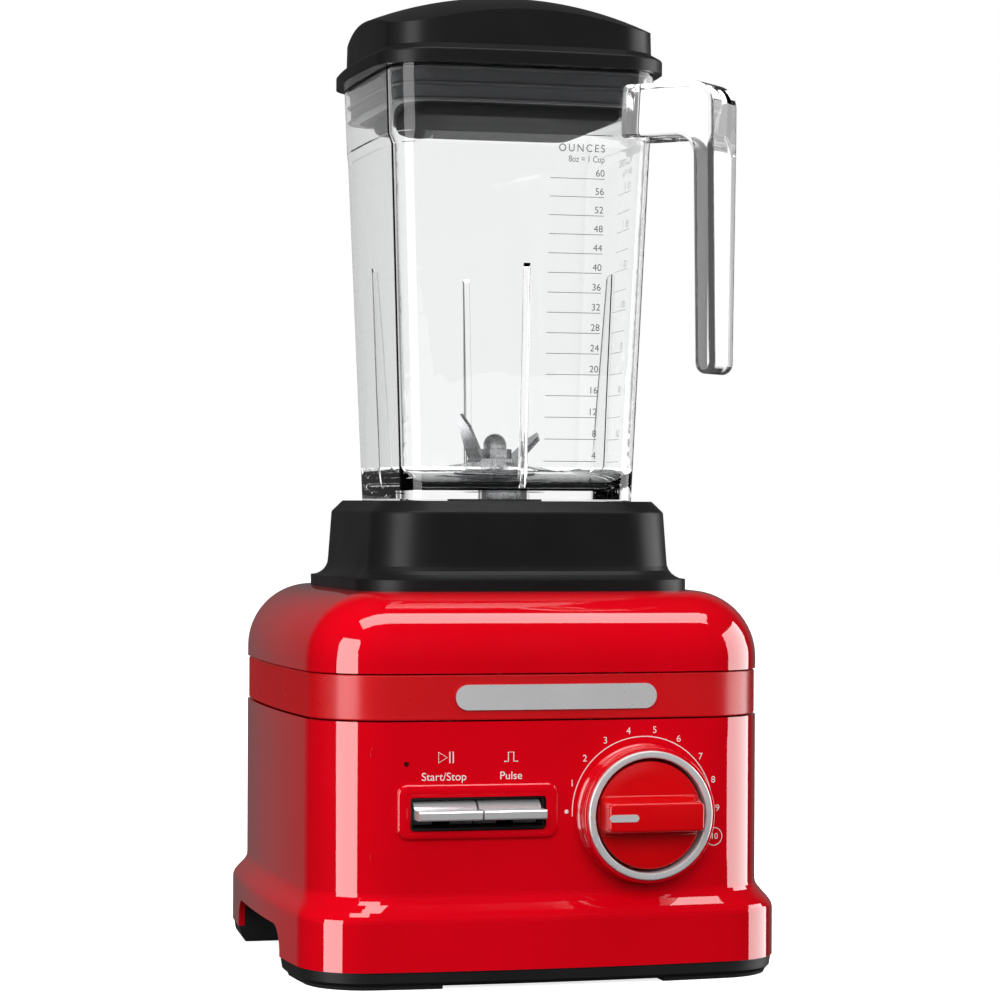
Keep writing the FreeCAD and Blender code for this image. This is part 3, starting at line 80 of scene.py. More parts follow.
def newGroup(name, inputs, outputs):
    group = bpy.data.node_groups.new(name, "ShaderNodeTree")
    for label, kind, value in inputs:
        socket = group.interface.new_socket(name=label, in_out="INPUT", socket_type=kind)
        socket.default_value = value
    for label, kind in outputs:
        group.interface.new_socket(name=label, in_out="OUTPUT", socket_type=kind)
    start = group.nodes.new("NodeGroupInput")
    end = group.nodes.new("NodeGroupOutput")
    return group, start, end


def addNode(tree, kind, settings=None, inputs=None):
    node = tree.nodes.new(kind)
    for key, value in (settings or {}).items():
        setattr(node, key, value)
    for key, value in (inputs or {}).items():
        node.inputs[key].default_value = value
    return node


def makeCloudy():
    # slow change between two values, as on any moulded or sprayed surface
    group, start, end = newGroup("cloudy", [("Scale", "NodeSocketFloat", 20.0), ("Low", "NodeSocketFloat", 0.3),
                                            ("High", "NodeSocketFloat", 0.4), ("Detail", "NodeSocketFloat", 3.0)],
                                 [("Value", "NodeSocketFloat")])
    place = addNode(group, "ShaderNodeTexCoord")
    noise = addNode(group, "ShaderNodeTexNoise")
    span = addNode(group, "ShaderNodeMapRange", None, {"From Min": 0.3, "From Max": 0.7})
    link = group.links.new
    link(place.outputs["Object"], noise.inputs["Vector"])
    link(start.outputs["Scale"], noise.inputs["Scale"])
    link(start.outputs["Detail"], noise.inputs["Detail"])
    link(noise.outputs["Fac"], span.inputs["Value"])
    link(start.outputs["Low"], span.inputs["To Min"])
    link(start.outputs["High"], span.inputs["To Max"])
    link(span.outputs["Result"], end.inputs["Value"])
    return group


def makeTwoTone():
    # one colour drifting into another
    group, start, end = newGroup("twoTone", [("Color", "NodeSocketColor", (1, 1, 1, 1)),
                                             ("Other", "NodeSocketColor", (0, 0, 0, 1)),
                                             ("Scale", "NodeSocketFloat", 15.0)],
                                 [("Color", "NodeSocketColor")])
    place = addNode(group, "ShaderNodeTexCoord")
    noise = addNode(group, "ShaderNodeTexNoise", None, {"Detail": 4.0, "Roughness": 0.55})
    span = addNode(group, "ShaderNodeMapRange", None, {"From Min": 0.35, "From Max": 0.65})
    mix = addNode(group, "ShaderNodeMix", {"data_type": "RGBA"})
    link = group.links.new
    link(place.outputs["Object"], noise.inputs["Vector"])
    link(start.outputs["Scale"], noise.inputs["Scale"])
    link(noise.outputs["Fac"], span.inputs["Value"])
    link(span.outputs["Result"], mix.inputs["Factor"])
    link(start.outputs["Color"], mix.inputs["A"])
    link(start.outputs["Other"], mix.inputs["B"])
    link(mix.outputs["Result"], end.inputs["Color"])
    return group


def makeGrain():
    # fine moulded or sprayed grain, as a bump
    group, start, end = newGroup("grain", [("Scale", "NodeSocketFloat", 900.0), ("Height", "NodeSocketFloat", 0.2),
                                           ("Depth", "NodeSocketFloat", 0.00002)],
                                 [("Normal", "NodeSocketVector")])
    place = addNode(group, "ShaderNodeTexCoord")
    noise = addNode(group, "ShaderNodeTexNoise", None, {"Detail": 2.0, "Roughness": 0.6})
    bump = addNode(group, "ShaderNodeBump")
    link = group.links.new
    link(place.outputs["Object"], noise.inputs["Vector"])
    link(start.outputs["Scale"], noise.inputs["Scale"])
    link(noise.outputs["Fac"], bump.inputs["Height"])
    link(start.outputs["Height"], bump.inputs["Strength"])
    link(start.outputs["Depth"], bump.inputs["Distance"])
    link(bump.outputs["Normal"], end.inputs["Normal"])
    return group


def makeBrushed():
    # fine lines left by brushing or turning: the stretch squeezes the pattern along one axis
    group, start, end = newGroup("brushed", [("Stretch", "NodeSocketVector", (1.0, 1.0, 1.0)),
                                             ("Low", "NodeSocketFloat", 0.2), ("High", "NodeSocketFloat", 0.35),
                                             ("Height", "NodeSocketFloat", 0.1)],
                                 [("Value", "NodeSocketFloat"), ("Normal", "NodeSocketVector")])
    place = addNode(group, "ShaderNodeTexCoord")
    stretch = addNode(group, "ShaderNodeVectorMath", {"operation": "MULTIPLY"})
    noise = addNode(group, "ShaderNodeTexNoise", None, {"Scale": 1.0, "Detail": 3.0})
    span = addNode(group, "ShaderNodeMapRange", None, {"From Min": 0.3, "From Max": 0.7})
    bump = addNode(group, "ShaderNodeBump", None, {"Distance": 0.00002})
    link = group.links.new
    link(place.outputs["Object"], stretch.inputs[0])
    link(start.outputs["Stretch"], stretch.inputs[1])
    link(stretch.outputs["Vector"], noise.inputs["Vector"])
    link(noise.outputs["Fac"], span.inputs["Value"])
    link(start.outputs["Low"], span.inputs["To Min"])
    link(start.outputs["High"], span.inputs["To Max"])
    link(span.outputs["Result"], end.inputs["Value"])
    link(noise.outputs["Fac"], bump.inputs["Height"])
    link(start.outputs["Height"], bump.inputs["Strength"])
    link(bump.outputs["Normal"], end.inputs["Normal"])
    return group


def makeBands():
    # even bands along one axis: stacked laminations, or wound wire
    group, start, end = newGroup("bands", [("Direction", "NodeSocketVector", (0.0, 0.0, 1.0)),
                                           ("Pitch", "NodeSocketFloat", 0.0007), ("Height", "NodeSocketFloat", 0.6)],
                                 [("Mask", "NodeSocketFloat"), ("Normal", "NodeSocketVector")])
    place = addNode(group, "ShaderNodeTexCoord")
    along = addNode(group, "ShaderNodeVectorMath", {"operation": "DOT_PRODUCT"})
    share = addNode(group, "ShaderNodeMath", {"operation": "DIVIDE"})
    wave = addNode(group, "ShaderNodeMath", {"operation": "PINGPONG"}, {1: 0.5})
    bump = addNode(group, "ShaderNodeBump", None, {"Distance": 0.0002})
    link = group.links.new
    link(place.outputs["Object"], along.inputs[0])
    link(start.outputs["Direction"], along.inputs[1])
    link(along.outputs["Value"], share.inputs[0])
    link(start.outputs["Pitch"], share.inputs[1])
    link(share.outputs["Value"], wave.inputs[0])
    link(wave.outputs["Value"], bump.inputs["Height"])
    link(start.outputs["Height"], bump.inputs["Strength"])
    link(wave.outputs["Value"], end.inputs["Mask"])
    link(bump.outputs["Normal"], end.inputs["Normal"])
    return group


cloudy = makeCloudy()
twoTone = makeTwoTone()
grain = makeGrain()
brushed = makeBrushed()
bands = makeBands()


def newFinish(name, plain):
    material = bpy.data.materials.new(name)
    material.use_nodes = True
    tree = material.node_tree
    shader = tree.nodes["Principled BSDF"]
    for key, value in plain.items():
        shader.inputs[key].default_value = value
    return material, tree, shader


def place(tree, group, values):
    node = tree.nodes.new("ShaderNodeGroup")
    node.node_tree = group
    for key, value in values.items():
        node.inputs[key].default_value = value
    return node


def solidFinish(name, color, other, rough, grainOf, plain=None, toneScale=14.0, roughScale=30.0):
    # colour and gloss that drift a little, over a fine grain
    material, tree, shader = newFinish(name, plain or {})
    tone = place(tree, twoTone, {"Color": (*color, 1), "Other": (*other, 1), "Scale": toneScale})
    gloss = place(tree, cloudy, {"Scale": roughScale, "Low": rough[0], "High": rough[1]})
    skin = place(tree, grain, {"Scale": grainOf[0], "Height": grainOf[1], "Depth": grainOf[2]})
    link = tree.links.new
    link(tone.outputs["Color"], shader.inputs["Base Color"])
    link(gloss.outputs["Value"], shader.inputs["Roughness"])
    link(skin.outputs["Normal"], shader.inputs["Normal"])
    return material


def metalFinish(name, color, other, rough, stretch, height=0.1, plain=None):
    material, tree, shader = newFinish(name, {"Metallic": 1.0, **(plain or {})})
    tone = place(tree, twoTone, {"Color": (*color, 1), "Other": (*other, 1), "Scale": 60.0})
    lines = place(tree, brushed, {"Stretch": stretch, "Low": rough[0], "High": rough[1], "Height": height})
    link = tree.links.new
    link(tone.outputs["Color"], shader.inputs["Base Color"])
    link(lines.outputs["Value"], shader.inputs["Roughness"])
    link(lines.outputs["Normal"], shader.inputs["Normal"])
    return material


def bandedFinish(name, color, other, rough, direction, pitch, metallic=1.0):
    material, tree, shader = newFinish(name, {"Metallic": metallic})
    lines = place(tree, bands, {"Direction": direction, "Pitch": pitch})
    gloss = place(tree, cloudy, {"Scale": 80.0, "Low": rough[0], "High": rough[1]})
    mix = addNode(tree, "ShaderNodeMix", {"data_type": "RGBA"}, {"A": (*other, 1), "B": (*color, 1)})
    span = addNode(tree, "ShaderNodeMapRange", None, {"From Max": 0.5})
    link = tree.links.new
    link(lines.outputs["Mask"], span.inputs["Value"])
    link(span.outputs["Result"], mix.inputs["Factor"])
    link(mix.outputs["Result"], shader.inputs["Base Color"])
    link(gloss.outputs["Value"], shader.inputs["Roughness"])
    link(lines.outputs["Normal"], shader.inputs["Normal"])
    return material


def clearFinish(name, tint, bend, rough):
    # clear moulded plastic that lets the lamps through
    material, tree, shader = newFinish(name, {"Base Color": (*tint, 1), "IOR": bend, "Transmission Weight": 1.0})
    gloss = place(tree, cloudy, {"Scale": 12.0, "Low": rough[0], "High": rough[1]})
    flow = place(tree, grain, {"Scale": 22.0, "Height": 0.05, "Depth": 0.0003})
    clear = addNode(tree, "ShaderNodeBsdfTransparent", None, {"Color": (0.97, 0.98, 0.98, 1)})
    path = addNode(tree, "ShaderNodeLightPath")
    mix = addNode(tree, "ShaderNodeMixShader")
    link = tree.links.new
    link(gloss.outputs["Value"], shader.inputs["Roughness"])
    link(flow.outputs["Normal"], shader.inputs["Normal"])
    link(path.outputs["Is Shadow Ray"], mix.inputs["Fac"])
    link(shader.outputs["BSDF"], mix.inputs[1])
    link(clear.outputs["BSDF"], mix.inputs[2])
    link(mix.outputs["Shader"], tree.nodes["Material Output"].inputs["Surface"])
    return material


finishes = {
    "red_enamel": solidFinish("redEnamel", (0.66, 0.0004, 0.008), (0.61, 0.0003, 0.006), (0.03, 0.06),
                              (350.0, 0.03, 0.00002), {"Coat Weight": 1.0, "Coat Roughness": 0.02, "Coat IOR": 1.6}),
    "band_red": solidFinish("bandRed", (0.60, 0.002, 0.006), (0.52, 0.001, 0.004), (0.26, 0.34),
                            (1500.0, 0.12, 0.00002), {"Coat Weight": 0.35, "Coat Roughness": 0.2}),
    "knob_red": solidFinish("knobRed", (0.64, 0.0015, 0.004), (0.58, 0.001, 0.003), (0.12, 0.2),
                            (500.0, 0.05, 0.00003), {"Coat Weight": 0.8, "Coat Roughness": 0.04}),
    "satin_black": solidFinish("satinBlack", (0.007, 0.007, 0.0075), (0.010, 0.010, 0.0105), (0.33, 0.40),
                               (2600.0, 0.2, 0.00001), {"Specular IOR Level": 0.25}),
    "plug_black": solidFinish("plugBlack", (0.008, 0.008, 0.0085), (0.012, 0.012, 0.0125), (0.55, 0.65),
                              (2600.0, 0.15, 0.00001), {"Specular IOR Level": 0.02}),
    "pan_black": solidFinish("panBlack", (0.011, 0.011, 0.012), (0.016, 0.016, 0.017), (0.42, 0.52),
                             (2200.0, 0.25, 0.000012)),
    "foot_rubber": solidFinish("footRubber", (0.012, 0.012, 0.012), (0.02, 0.02, 0.02), (0.62, 0.75),
                               (1400.0, 0.5, 0.00005)),
    "seal_rubber": solidFinish("sealRubber", (0.012, 0.012, 0.013), (0.018, 0.018, 0.02), (0.38, 0.5),
                               (2200.0, 0.15, 0.00001)),
    "satin_silver": solidFinish("satinSilver", (0.80, 0.80, 0.81), (0.77, 0.77, 0.78), (0.25, 0.31),
                                (500.0, 0.01, 0.000004), {"Metallic": 0.45}, 30.0, 40.0),
    "bright_metal": solidFinish("brightMetal", (0.85, 0.85, 0.86), (0.82, 0.82, 0.83), (0.13, 0.18),
                                (500.0, 0.01, 0.000004), {"Metallic": 0.55}, 30.0, 60.0),
    "screw_steel": metalFinish("screwSteel", (0.6, 0.6, 0.62), (0.5, 0.5, 0.52), (0.3, 0.45), (400.0, 400.0, 400.0)),
    "blade_steel": metalFinish("bladeSteel", (0.62, 0.62, 0.63), (0.55, 0.55, 0.57), (0.18, 0.32),
                               (200.0, 2500.0, 200.0), 0.1),
    "shaft_steel": metalFinish("shaftSteel", (0.6, 0.6, 0.61), (0.5, 0.5, 0.52), (0.2, 0.34), (60.0, 60.0, 3000.0)),
    "jar_clear": clearFinish("jarClear", (0.995, 1.0, 1.0), 1.49, (0.0, 0.012)),
    "board_green": solidFinish("boardGreen", (0.01, 0.13, 0.045), (0.015, 0.19, 0.07), (0.25, 0.4),
                               (900.0, 0.2, 0.00004), None, 220.0),
    "black_nylon": solidFinish("blackNylon", (0.02, 0.02, 0.021), (0.03, 0.03, 0.031), (0.4, 0.55),
                               (1200.0, 0.35, 0.00004)),
    "lamination_steel": bandedFinish("laminationSteel", (0.36, 0.36, 0.37), (0.16, 0.16, 0.17), (0.35, 0.5),
                                     (0.0, 0.0, 1.0), 0.001),
    "copper": bandedFinish("woundCopper", (0.72, 0.33, 0.14), (0.36, 0.13, 0.05), (0.25, 0.38),
                           (0.6, 0.0, 0.8), 0.0011),
    "carbon": solidFinish("pressedCarbon", (0.02, 0.02, 0.021), (0.045, 0.045, 0.047), (0.5, 0.65),
                          (2600.0, 0.5, 0.00005), None, 400.0),
    "cast_aluminium": solidFinish("castAluminium", (0.52, 0.52, 0.53), (0.44, 0.44, 0.45), (0.4, 0.55),
                                  (1100.0, 0.5, 0.00006), {"Metallic": 1.0}, 90.0),
    "bearing_bronze": solidFinish("bearingBronze", (0.55, 0.36, 0.15), (0.44, 0.28, 0.11), (0.35, 0.5),
                                  (1900.0, 0.4, 0.00005), {"Metallic": 1.0}, 200.0),
    "light_amber": solidFinish("lightLens", (0.05, 0.006, 0.006), (0.03, 0.004, 0.004), (0.1, 0.2),
                               (800.0, 0.1, 0.00002)),
}
printGrey = solidFinish("printGrey", (0.80, 0.74, 0.74), (0.74, 0.68, 0.68), (0.4, 0.5), (1500.0, 0.1, 0.00001))
scaleGrey = solidFinish("scaleGrey", (0.10, 0.10, 0.11), (0.14, 0.14, 0.15), (0.4, 0.5), (1500.0, 0.1, 0.00001))

slotOf = {part["node"]: part["material_slot"] for part in frame["record"]["subparts"]}
for name, node in nodes.items():
    node.data.materials.clear()
    node.data.materials.append(finishes["plug_black" if name == "lid_plug" else slotOf[name]])
print("finishes ready:", len(finishes))


def selectOnly(piece):
    for other in bpy.context.view_layer.objects:
        other.select_set(False)
    piece.select_set(True)
    bpy.context.view_layer.objects.active = piece


def settle(piece, name, slot, body, covers=(), angle=35.0, finish=None):
    # name, finish, smooth shading, and the body it moves with
    piece.name = name
    piece.data.name = name
    piece.data.materials.clear()
    piece.data.materials.append(finish or finishes[slot])
    selectOnly(piece)
    bpy.ops.object.shade_smooth_by_angle(angle=math.radians(angle), keep_sharp_edges=True)
    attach(piece, body)
    if covers:
        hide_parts(*covers)
    return piece


def outlinePoints(half, side, corner, z, perSide, perCorner):
    # bowed sides and tangent corner arcs, anticlockwise from the front left corner
    depth = side - half
    reach = side - corner
    centre = (math.sqrt(2 * reach * reach - depth * depth) - depth) / 2
    swing = math.asin(min(1.0, centre / reach))
    points = []
    for quarter in range(4):
        turn = -math.pi / 2 + quarter * math.pi / 2
        for i in range(perSide):
            angle = -swing + 2 * swing * i / perSide
            points.append((turn, side * math.cos(angle) - depth, side * math.sin(angle)))
        start = swing
        for i in range(perCorner):
            angle = start + (math.pi / 2 - 2 * swing) * i / perCorner
            points.append((turn, centre + corner * math.cos(angle), centre + corner * math.sin(angle)))
    placed = []
    for turn, out, along in points:
        placed.append(Vector((out * math.cos(turn) - along * math.sin(turn),
                              axisY + out * math.sin(turn) + along * math.cos(turn), z)))
    return placed


def evenly(points, count):
    # the same closed line with even steps
    lengths = [0.0]
    for i in range(len(points)):
        lengths.append(lengths[-1] + (points[(i + 1) % len(points)] - points[i]).length)
    result = []
    at = 0
    for k in range(count):
        want = lengths[-1] * k / count
        while lengths[at + 1] < want:
            at += 1
        share = (want - lengths[at]) / (lengths[at + 1] - lengths[at])
        result.append(points[at].lerp(points[(at + 1) % len(points)], share))
    return result


def ringPoints(x, z, radius, y, count):
    # a circle round a line along Y
    turns = [2 * math.pi * i / count for i in range(count)]
    return [Vector((x + radius * math.cos(turn), y, z + radius * math.sin(turn))) for turn in turns]


def extrudeLoops(loops, closeEnds=(False, False), joined=False):
    # a circle of edges, extruded loop by loop through the given places
    count = len(loops[0])
    bpy.ops.object.select_all(action="DESELECT")
    bpy.ops.mesh.primitive_circle_add(vertices=count, radius=0.1)
    piece = bpy.context.object
    bpy.ops.object.mode_set(mode="EDIT")
    mesh = bmesh.from_edit_mesh(piece.data)
    station = mesh.verts.layers.int.new("station")
    mesh.verts.ensure_lookup_table()
    for i, vert in enumerate(mesh.verts):
        vert[station] = i
        vert.co = loops[0][i]
    if closeEnds[0]:
        bpy.ops.mesh.edge_face_add()
        mesh = bmesh.from_edit_mesh(piece.data)
        for face in mesh.faces:
            face.select_set(False)
        for edge in mesh.edges:
            edge.select_set(True)
    for loop in loops[1:]:
        bpy.ops.mesh.extrude_edges_move()
        mesh = bmesh.from_edit_mesh(piece.data)
        station = mesh.verts.layers.int["station"]
        for vert in mesh.verts:
            if vert.select:
                vert.co = loop[vert[station]]
    if closeEnds[1]:
        bpy.ops.mesh.edge_face_add()
    if joined:
        bpy.ops.mesh.select_all(action="SELECT")
        bpy.ops.mesh.remove_doubles(threshold=0.000001)
    bpy.ops.mesh.select_all(action="SELECT")
    bpy.ops.mesh.normals_make_consistent(inside=False)
    bmesh.update_edit_mesh(piece.data)
    bpy.ops.object.mode_set(mode="OBJECT")
    return piece


# trim band with raised dots, all in metres
band = {"rows": 17, "columns": 576, "dot": 0.00035, "margin": 0.0008, "inset": 0.0006, "wall": 0.0030,
        "seam": 0.0006, "corner": 0.036, "lip": 0.0002, "lipHeight": 0.0003}


def buildBand():
    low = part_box("lower_housing")[1].z + band["seam"]
    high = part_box("upper_cover")[0].z - band["seam"]
    inset = band["inset"]
    outline = outlinePoints(bodyHalf - inset, sideRadius - inset, band["corner"] - inset, 0, 90, 40)
    base = evenly(outline, band["columns"])
    loops = []

    def loop(z, push, dotted=0):
        result = []
        for i, point in enumerate(base):
            nextOne = base[(i + 1) % len(base)]
            lastOne = base[i - 1]
            out = (nextOne - lastOne).cross(Vector((0, 0, 1))).normalized()
            raised = band["dot"] if dotted and (i + dotted) % 2 == 0 else 0.0
            result.append(Vector((point.x, point.y, z)) + out * (push + raised - band["dot"]))
        return result

    loops.append(loop(low, -band["wall"]))
    loops.append(loop(low, -band["lip"]))
    loops.append(loop(low + band["lipHeight"], band["lip"]))
    span = high - low - 2 * band["margin"]
    for row in range(band["rows"]):
        loops.append(loop(low + band["margin"] + span * row / (band["rows"] - 1), 0.0, 1 + row))
    loops.append(loop(high - band["lipHeight"], band["lip"]))
    loops.append(loop(high, -band["lip"]))
    loops.append(loop(high, -band["wall"]))
    loops.append(loops[0])
    piece = extrudeLoops(loops, joined=True)
    settle(piece, "bandDots", "band_red", "base", ["trim_band"], angle=60.0)


buildBand()
print("trim band ready")


# dial: bezel, knob and printed scale, in millimetres
dial = {"centre": middle("dial_ring"), "ring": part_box("dial_ring")[1].x - middle("dial_ring").x,
        "front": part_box("dial_ring")[0].y,
        # radius outside the ring, how far in front, how much it follows the bow
        "bezel": [(2.7, -0.3, 1.0), (2.65, 0.25, 1.0), (2.4, 0.9, 0.95), (2.1, 1.25, 0.9), (1.75, 1.42, 0.8),
                  (1.45, 1.75, 0.6), (1.32, 3.0, 0.3), (1.3, 5.0, 0.0), (1.42, 7.4, 0.0), (1.58, 8.7, 0.0),
                  (1.5, 9.3, 0.0), (1.2, 9.6, 0.0), (0.7, 9.62, 0.0), (0.2, 9.4, 0.0), (0.2, 8.2, 0.0),
                  (0.8, 7.0, 0.0), (0.8, -0.3, 1.0)],
        # radius and depth behind the ring's front
        "disc": [(21.4, 11.0), (22.9, 11.0), (23.5, 10.6), (23.65, 9.9), (23.65, 3.0), (23.5, 2.35), (22.9, 2.0),
                 (16.0, 2.0), (8.0, 2.0)],
        # the grip's foot is sunk a little into the disc, and its ends lean in from the disc's edge
        "faceDepth": 2.0, "gripSunk": 0.1, "gripReach": 23.45, "gripLean": 0.06,
        # half width, half height, corner, depth in front of the disc
        "grip": [(23.3, 8.9, 3.2, 0.0), (23.1, 8.5, 3.0, 0.25), (22.6, 7.75, 2.8, 2.5), (22.0, 6.95, 2.6, 6.5),
                 (21.6, 6.45, 2.4, 9.6), (21.35, 6.15, 2.2, 10.5), (20.95, 5.75, 1.9, 10.88), (20.4, 5.2, 1.6, 11.0)]}


def buildBezel():
    x, z = dial["centre"].x, dial["centre"].z
    flat = axisY - bodyHalf
    loops = []
    for wider, proud, follow in dial["bezel"]:
        loop = []
        for point in ringPoints(x, z, dial["ring"] + wider * mm, 0, 144):
            y = faceY(point.x) * follow + flat * (1 - follow) - proud * mm
            loop.append(Vector((point.x, y, point.z)))
        loops.append(loop)
    loops.append(loops[0])
    return settle(extrudeLoops(loops, joined=True), "dialBezel", "red_enamel", "base", angle=50.0)


def roundedPoints(x, z, halfWidth, halfHeight, corner, y, perCorner=8, limit=None):
    # a rectangle with round corners facing the front, held inside a radius when given
    points = []
    for sx, sz, start in ((1, 1, 0), (-1, 1, 90), (-1, -1, 180), (1, -1, 270)):
        for i in range(perCorner + 1):
            angle = math.radians(start + 90 * i / perCorner)
            points.append([sx * (halfWidth - corner) + corner * math.cos(angle),
                           sz * (halfHeight - corner) + corner * math.sin(angle)])
    placed = []
    for px, pz in points:
        reach = math.hypot(px, pz)
        share = limit / reach if limit and reach > limit else 1.0
        placed.append(Vector((x + px * share, y, z + pz * share)))
    return placed


def buildKnob():
    x, z = dial["centre"].x, dial["centre"].z
    loops = []
    for radius, depth in dial["disc"]:
        loops.append(ringPoints(x, z, radius * mm, dial["front"] + depth * mm, 128))
    disc = extrudeLoops(loops, closeEnds=(True, True))
    settle(disc, "knobDisc", "knob_red", "knob", ["speed_knob"], angle=40.0)
    face = dial["front"] + dial["faceDepth"] * mm
    loops = []
    for wide, high, corner, depth in dial["grip"]:
        sunk = dial["gripSunk"] if depth == 0 else 0.0
        reach = dial["gripReach"] - depth * dial["gripLean"]
        y = face - depth * mm + sunk * mm
        loops.append(roundedPoints(x, z, wide * mm, high * mm, corner * mm, y, 10, reach * mm))
    grip = extrudeLoops(loops, closeEnds=(True, True))
    settle(grip, "knobGrip", "knob_red", "knob", angle=40.0)


def faceOn(mesh, lift=0.00006):
    # lays a flat print drawn in XZ onto the bowed front
    for vert in mesh.vertices:
        vert.co.y = faceY(vert.co.x) - lift
    mesh.update()


def printText(words, x, z, size, name, align="CENTER", width=None, spacing=1.0):
    # flat words in XZ, fitted to a width when one is given
    bpy.ops.object.select_all(action="DESELECT")
    bpy.ops.object.text_add(location=(0, 0, 0))
    piece = bpy.context.object
    piece.data.body = words
    piece.data.size = size
    piece.data.space_character = spacing
    piece.data.align_x = align
    piece.data.align_y = "CENTER"
    bpy.ops.object.convert(target="MESH")
    piece = bpy.context.object
    spread = [vert.co.x for vert in piece.data.vertices]
    stretch = width / (max(spread) - min(spread)) if width else 1.0
    piece.data.transform(Matrix.Translation((x, 0, z)) @ Matrix.Rotation(math.radians(90), 4, "X")
                         @ Matrix.Diagonal((stretch, 1, 1, 1)))
    piece.name = name
    return piece


def inkLine(points, width, closed=False):
    # a flat ribbon in XZ along the points: two lines of edges with a face between each pair
    count = len(points)
    left = []
    right = []
    for i in range(count):
        last = points[i - 1] if i or closed else points[i]
        after = points[(i + 1) % count] if i < count - 1 or closed else points[i]
        way = Vector((after[0] - last[0], after[1] - last[1])).normalized()
        side = Vector((-way.y, 0, way.x)) * width / 2
        place = Vector((points[i][0], 0, points[i][1]))
        left.append(place + side)
        right.append(place - side)
    if closed:
        return extrudeLoops([left, right])
    bpy.ops.object.select_all(action="DESELECT")
    bpy.ops.mesh.primitive_grid_add(x_subdivisions=count - 1, y_subdivisions=1, size=1.0)
    piece = bpy.context.object
    for i, vert in enumerate(piece.data.vertices):
        vert.co = right[i] if i < count else left[i - count]
    return piece


def joinAll(pieces):
    selectOnly(pieces[0])
    for piece in pieces:
        piece.select_set(True)
    bpy.ops.object.join()
    return bpy.context.object


def facing(piece, way):
    # every face of a print looks the same way
    for polygon in piece.data.polygons:
        if polygon.normal.dot(way) < 0:
            polygon.flip()
    piece.data.update()


def arcPoints(x, z, radius, start, end, count):
    return [(x + radius * math.cos(math.radians(start + (end - start) * i / count)),
             z + radius * math.sin(math.radians(start + (end - start) * i / count))) for i in range(count + 1)]


panel = {"numbers": [(8.1, 87.7), (13.9, 98.5), (23.3, 106.2), (34.0, 110.2), (46.2, 110.5), (57.5, 106.4),
                     (67.9, 98.3), (74.0, 87.9), (76.1, 75.3), (74.6, 62.8)],
         "numberSize": 0.0042, "wordSize": 0.0049, "arc": (41.0, 75.0, 32.8), "off": (5.6, 75.5),
         "ten": (74.4, 62.8, 3.9),
         "words": [("Start/Stop", -49.2, 91.4), ("Pulse", -19.5, 91.6)],
         "play": [(-51.6, 102.2), (-51.6, 97.6), (-47.9, 99.9)], "bars": (-46.7, -45.2), "barEnds": (97.4, 102.4),
         "wave": [(-22.6, 97.9), (-20.7, 97.9), (-20.7, 101.9), (-18.3, 101.9), (-18.3, 97.9), (-16.4, 97.9)]}


def inMetres(points):
    return [(x * mm, z * mm) for x, z in points]


def printPanel():
    marks = [inkLine(inMetres(arcPoints(*panel["arc"], 183, -13, 96)), 0.0004)]
    marks.append(inkLine(inMetres(arcPoints(*panel["off"], 0.45, 0, 345, 23)), 0.00088, True))
    for i, (x, z) in enumerate(panel["numbers"]):
        size = panel["numberSize"] * (0.88 if i == 9 else 1.0)      # the last number stands in a circle
        marks.append(printText(str(i + 1), x * mm, z * mm, size, "number"))
    marks.append(inkLine(inMetres(arcPoints(*panel["ten"], 0, 354, 59)), 0.00032, True))
    for words, x, z in panel["words"]:
        marks.append(printText(words, x * mm, z * mm, panel["wordSize"], "word"))
    marks.append(inkLine(inMetres(panel["play"]), 0.00042, True))
    for x in panel["bars"]:
        marks.append(inkLine(inMetres([(x, z) for z in panel["barEnds"]]), 0.0005))
    marks.append(inkLine(inMetres(panel["wave"]), 0.00045))
    piece = joinAll(marks)
    faceOn(piece.data)
    facing(piece, Vector((0, -1, 0)))
    return settle(piece, "panelPrint", "satin_silver", "base", finish=printGrey)


buildBezel()
buildKnob()
printPanel()
print("dial and panel print ready")


# raised rim round the keys, in millimetres
rim = {"window": (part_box("paddle_frame")[0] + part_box("paddle_frame")[1]) / 2,
       "half": (30.2, 7.35), "corner": 1.6, "outside": (35.6, 12.0, 4.6), "drop": 1.0, "middle": 75.45,
       # share of the way in, how far in front of the face
       "profile": [(-0.03, -0.4), (-0.01, 0.15), (0.03, 0.95), (0.1, 1.5), (0.22, 1.86), (0.5, 1.98), (0.75, 1.9),
                   (0.9, 1.6), (0.97, 1.15), (1.0, 0.5), (1.0, -1.2), (0.5, -1.2)]}


def buildRim():
    x = rim["window"].x
    loops = []
    for share, proud in rim["profile"]:
        keep = max(0.0, min(1.0, share))
        wide = rim["outside"][0] + (rim["half"][0] - rim["outside"][0]) * share
        high = rim["outside"][1] + (rim["half"][1] - rim["outside"][1]) * share
        corner = rim["outside"][2] + (rim["corner"] - rim["outside"][2]) * keep
        z = rim["middle"] * mm + rim["drop"] * mm * (1 - keep)
        loop = []
        for point in roundedPoints(x, z, wide * mm, high * mm, corner * mm, 0, 8):
            loop.append(Vector((point.x, faceY(point.x) - proud * mm, point.z)))
        loops.append(splitSides(loop, 12))
    loops.append(loops[0])
    return settle(extrudeLoops(loops, joined=True), "windowRim", "red_enamel", "base", angle=45.0)


def splitSides(loop, parts):
    # extra points on the long edges, so that they can follow the bow
    longest = sorted(range(len(loop)), key=lambda i: -(loop[(i + 1) % len(loop)] - loop[i]).length)[:2]
    result = []
    for i, point in enumerate(loop):
        result.append(point)
        if i in longest:
            after = loop[(i + 1) % len(loop)]
            rise = point.y - faceY(point.x)
            for k in range(1, parts):
                between = point.lerp(after, k / parts)
                between.y = faceY(between.x) + rise
                result.append(between)
    return result


buildRim()
print("rim ready")


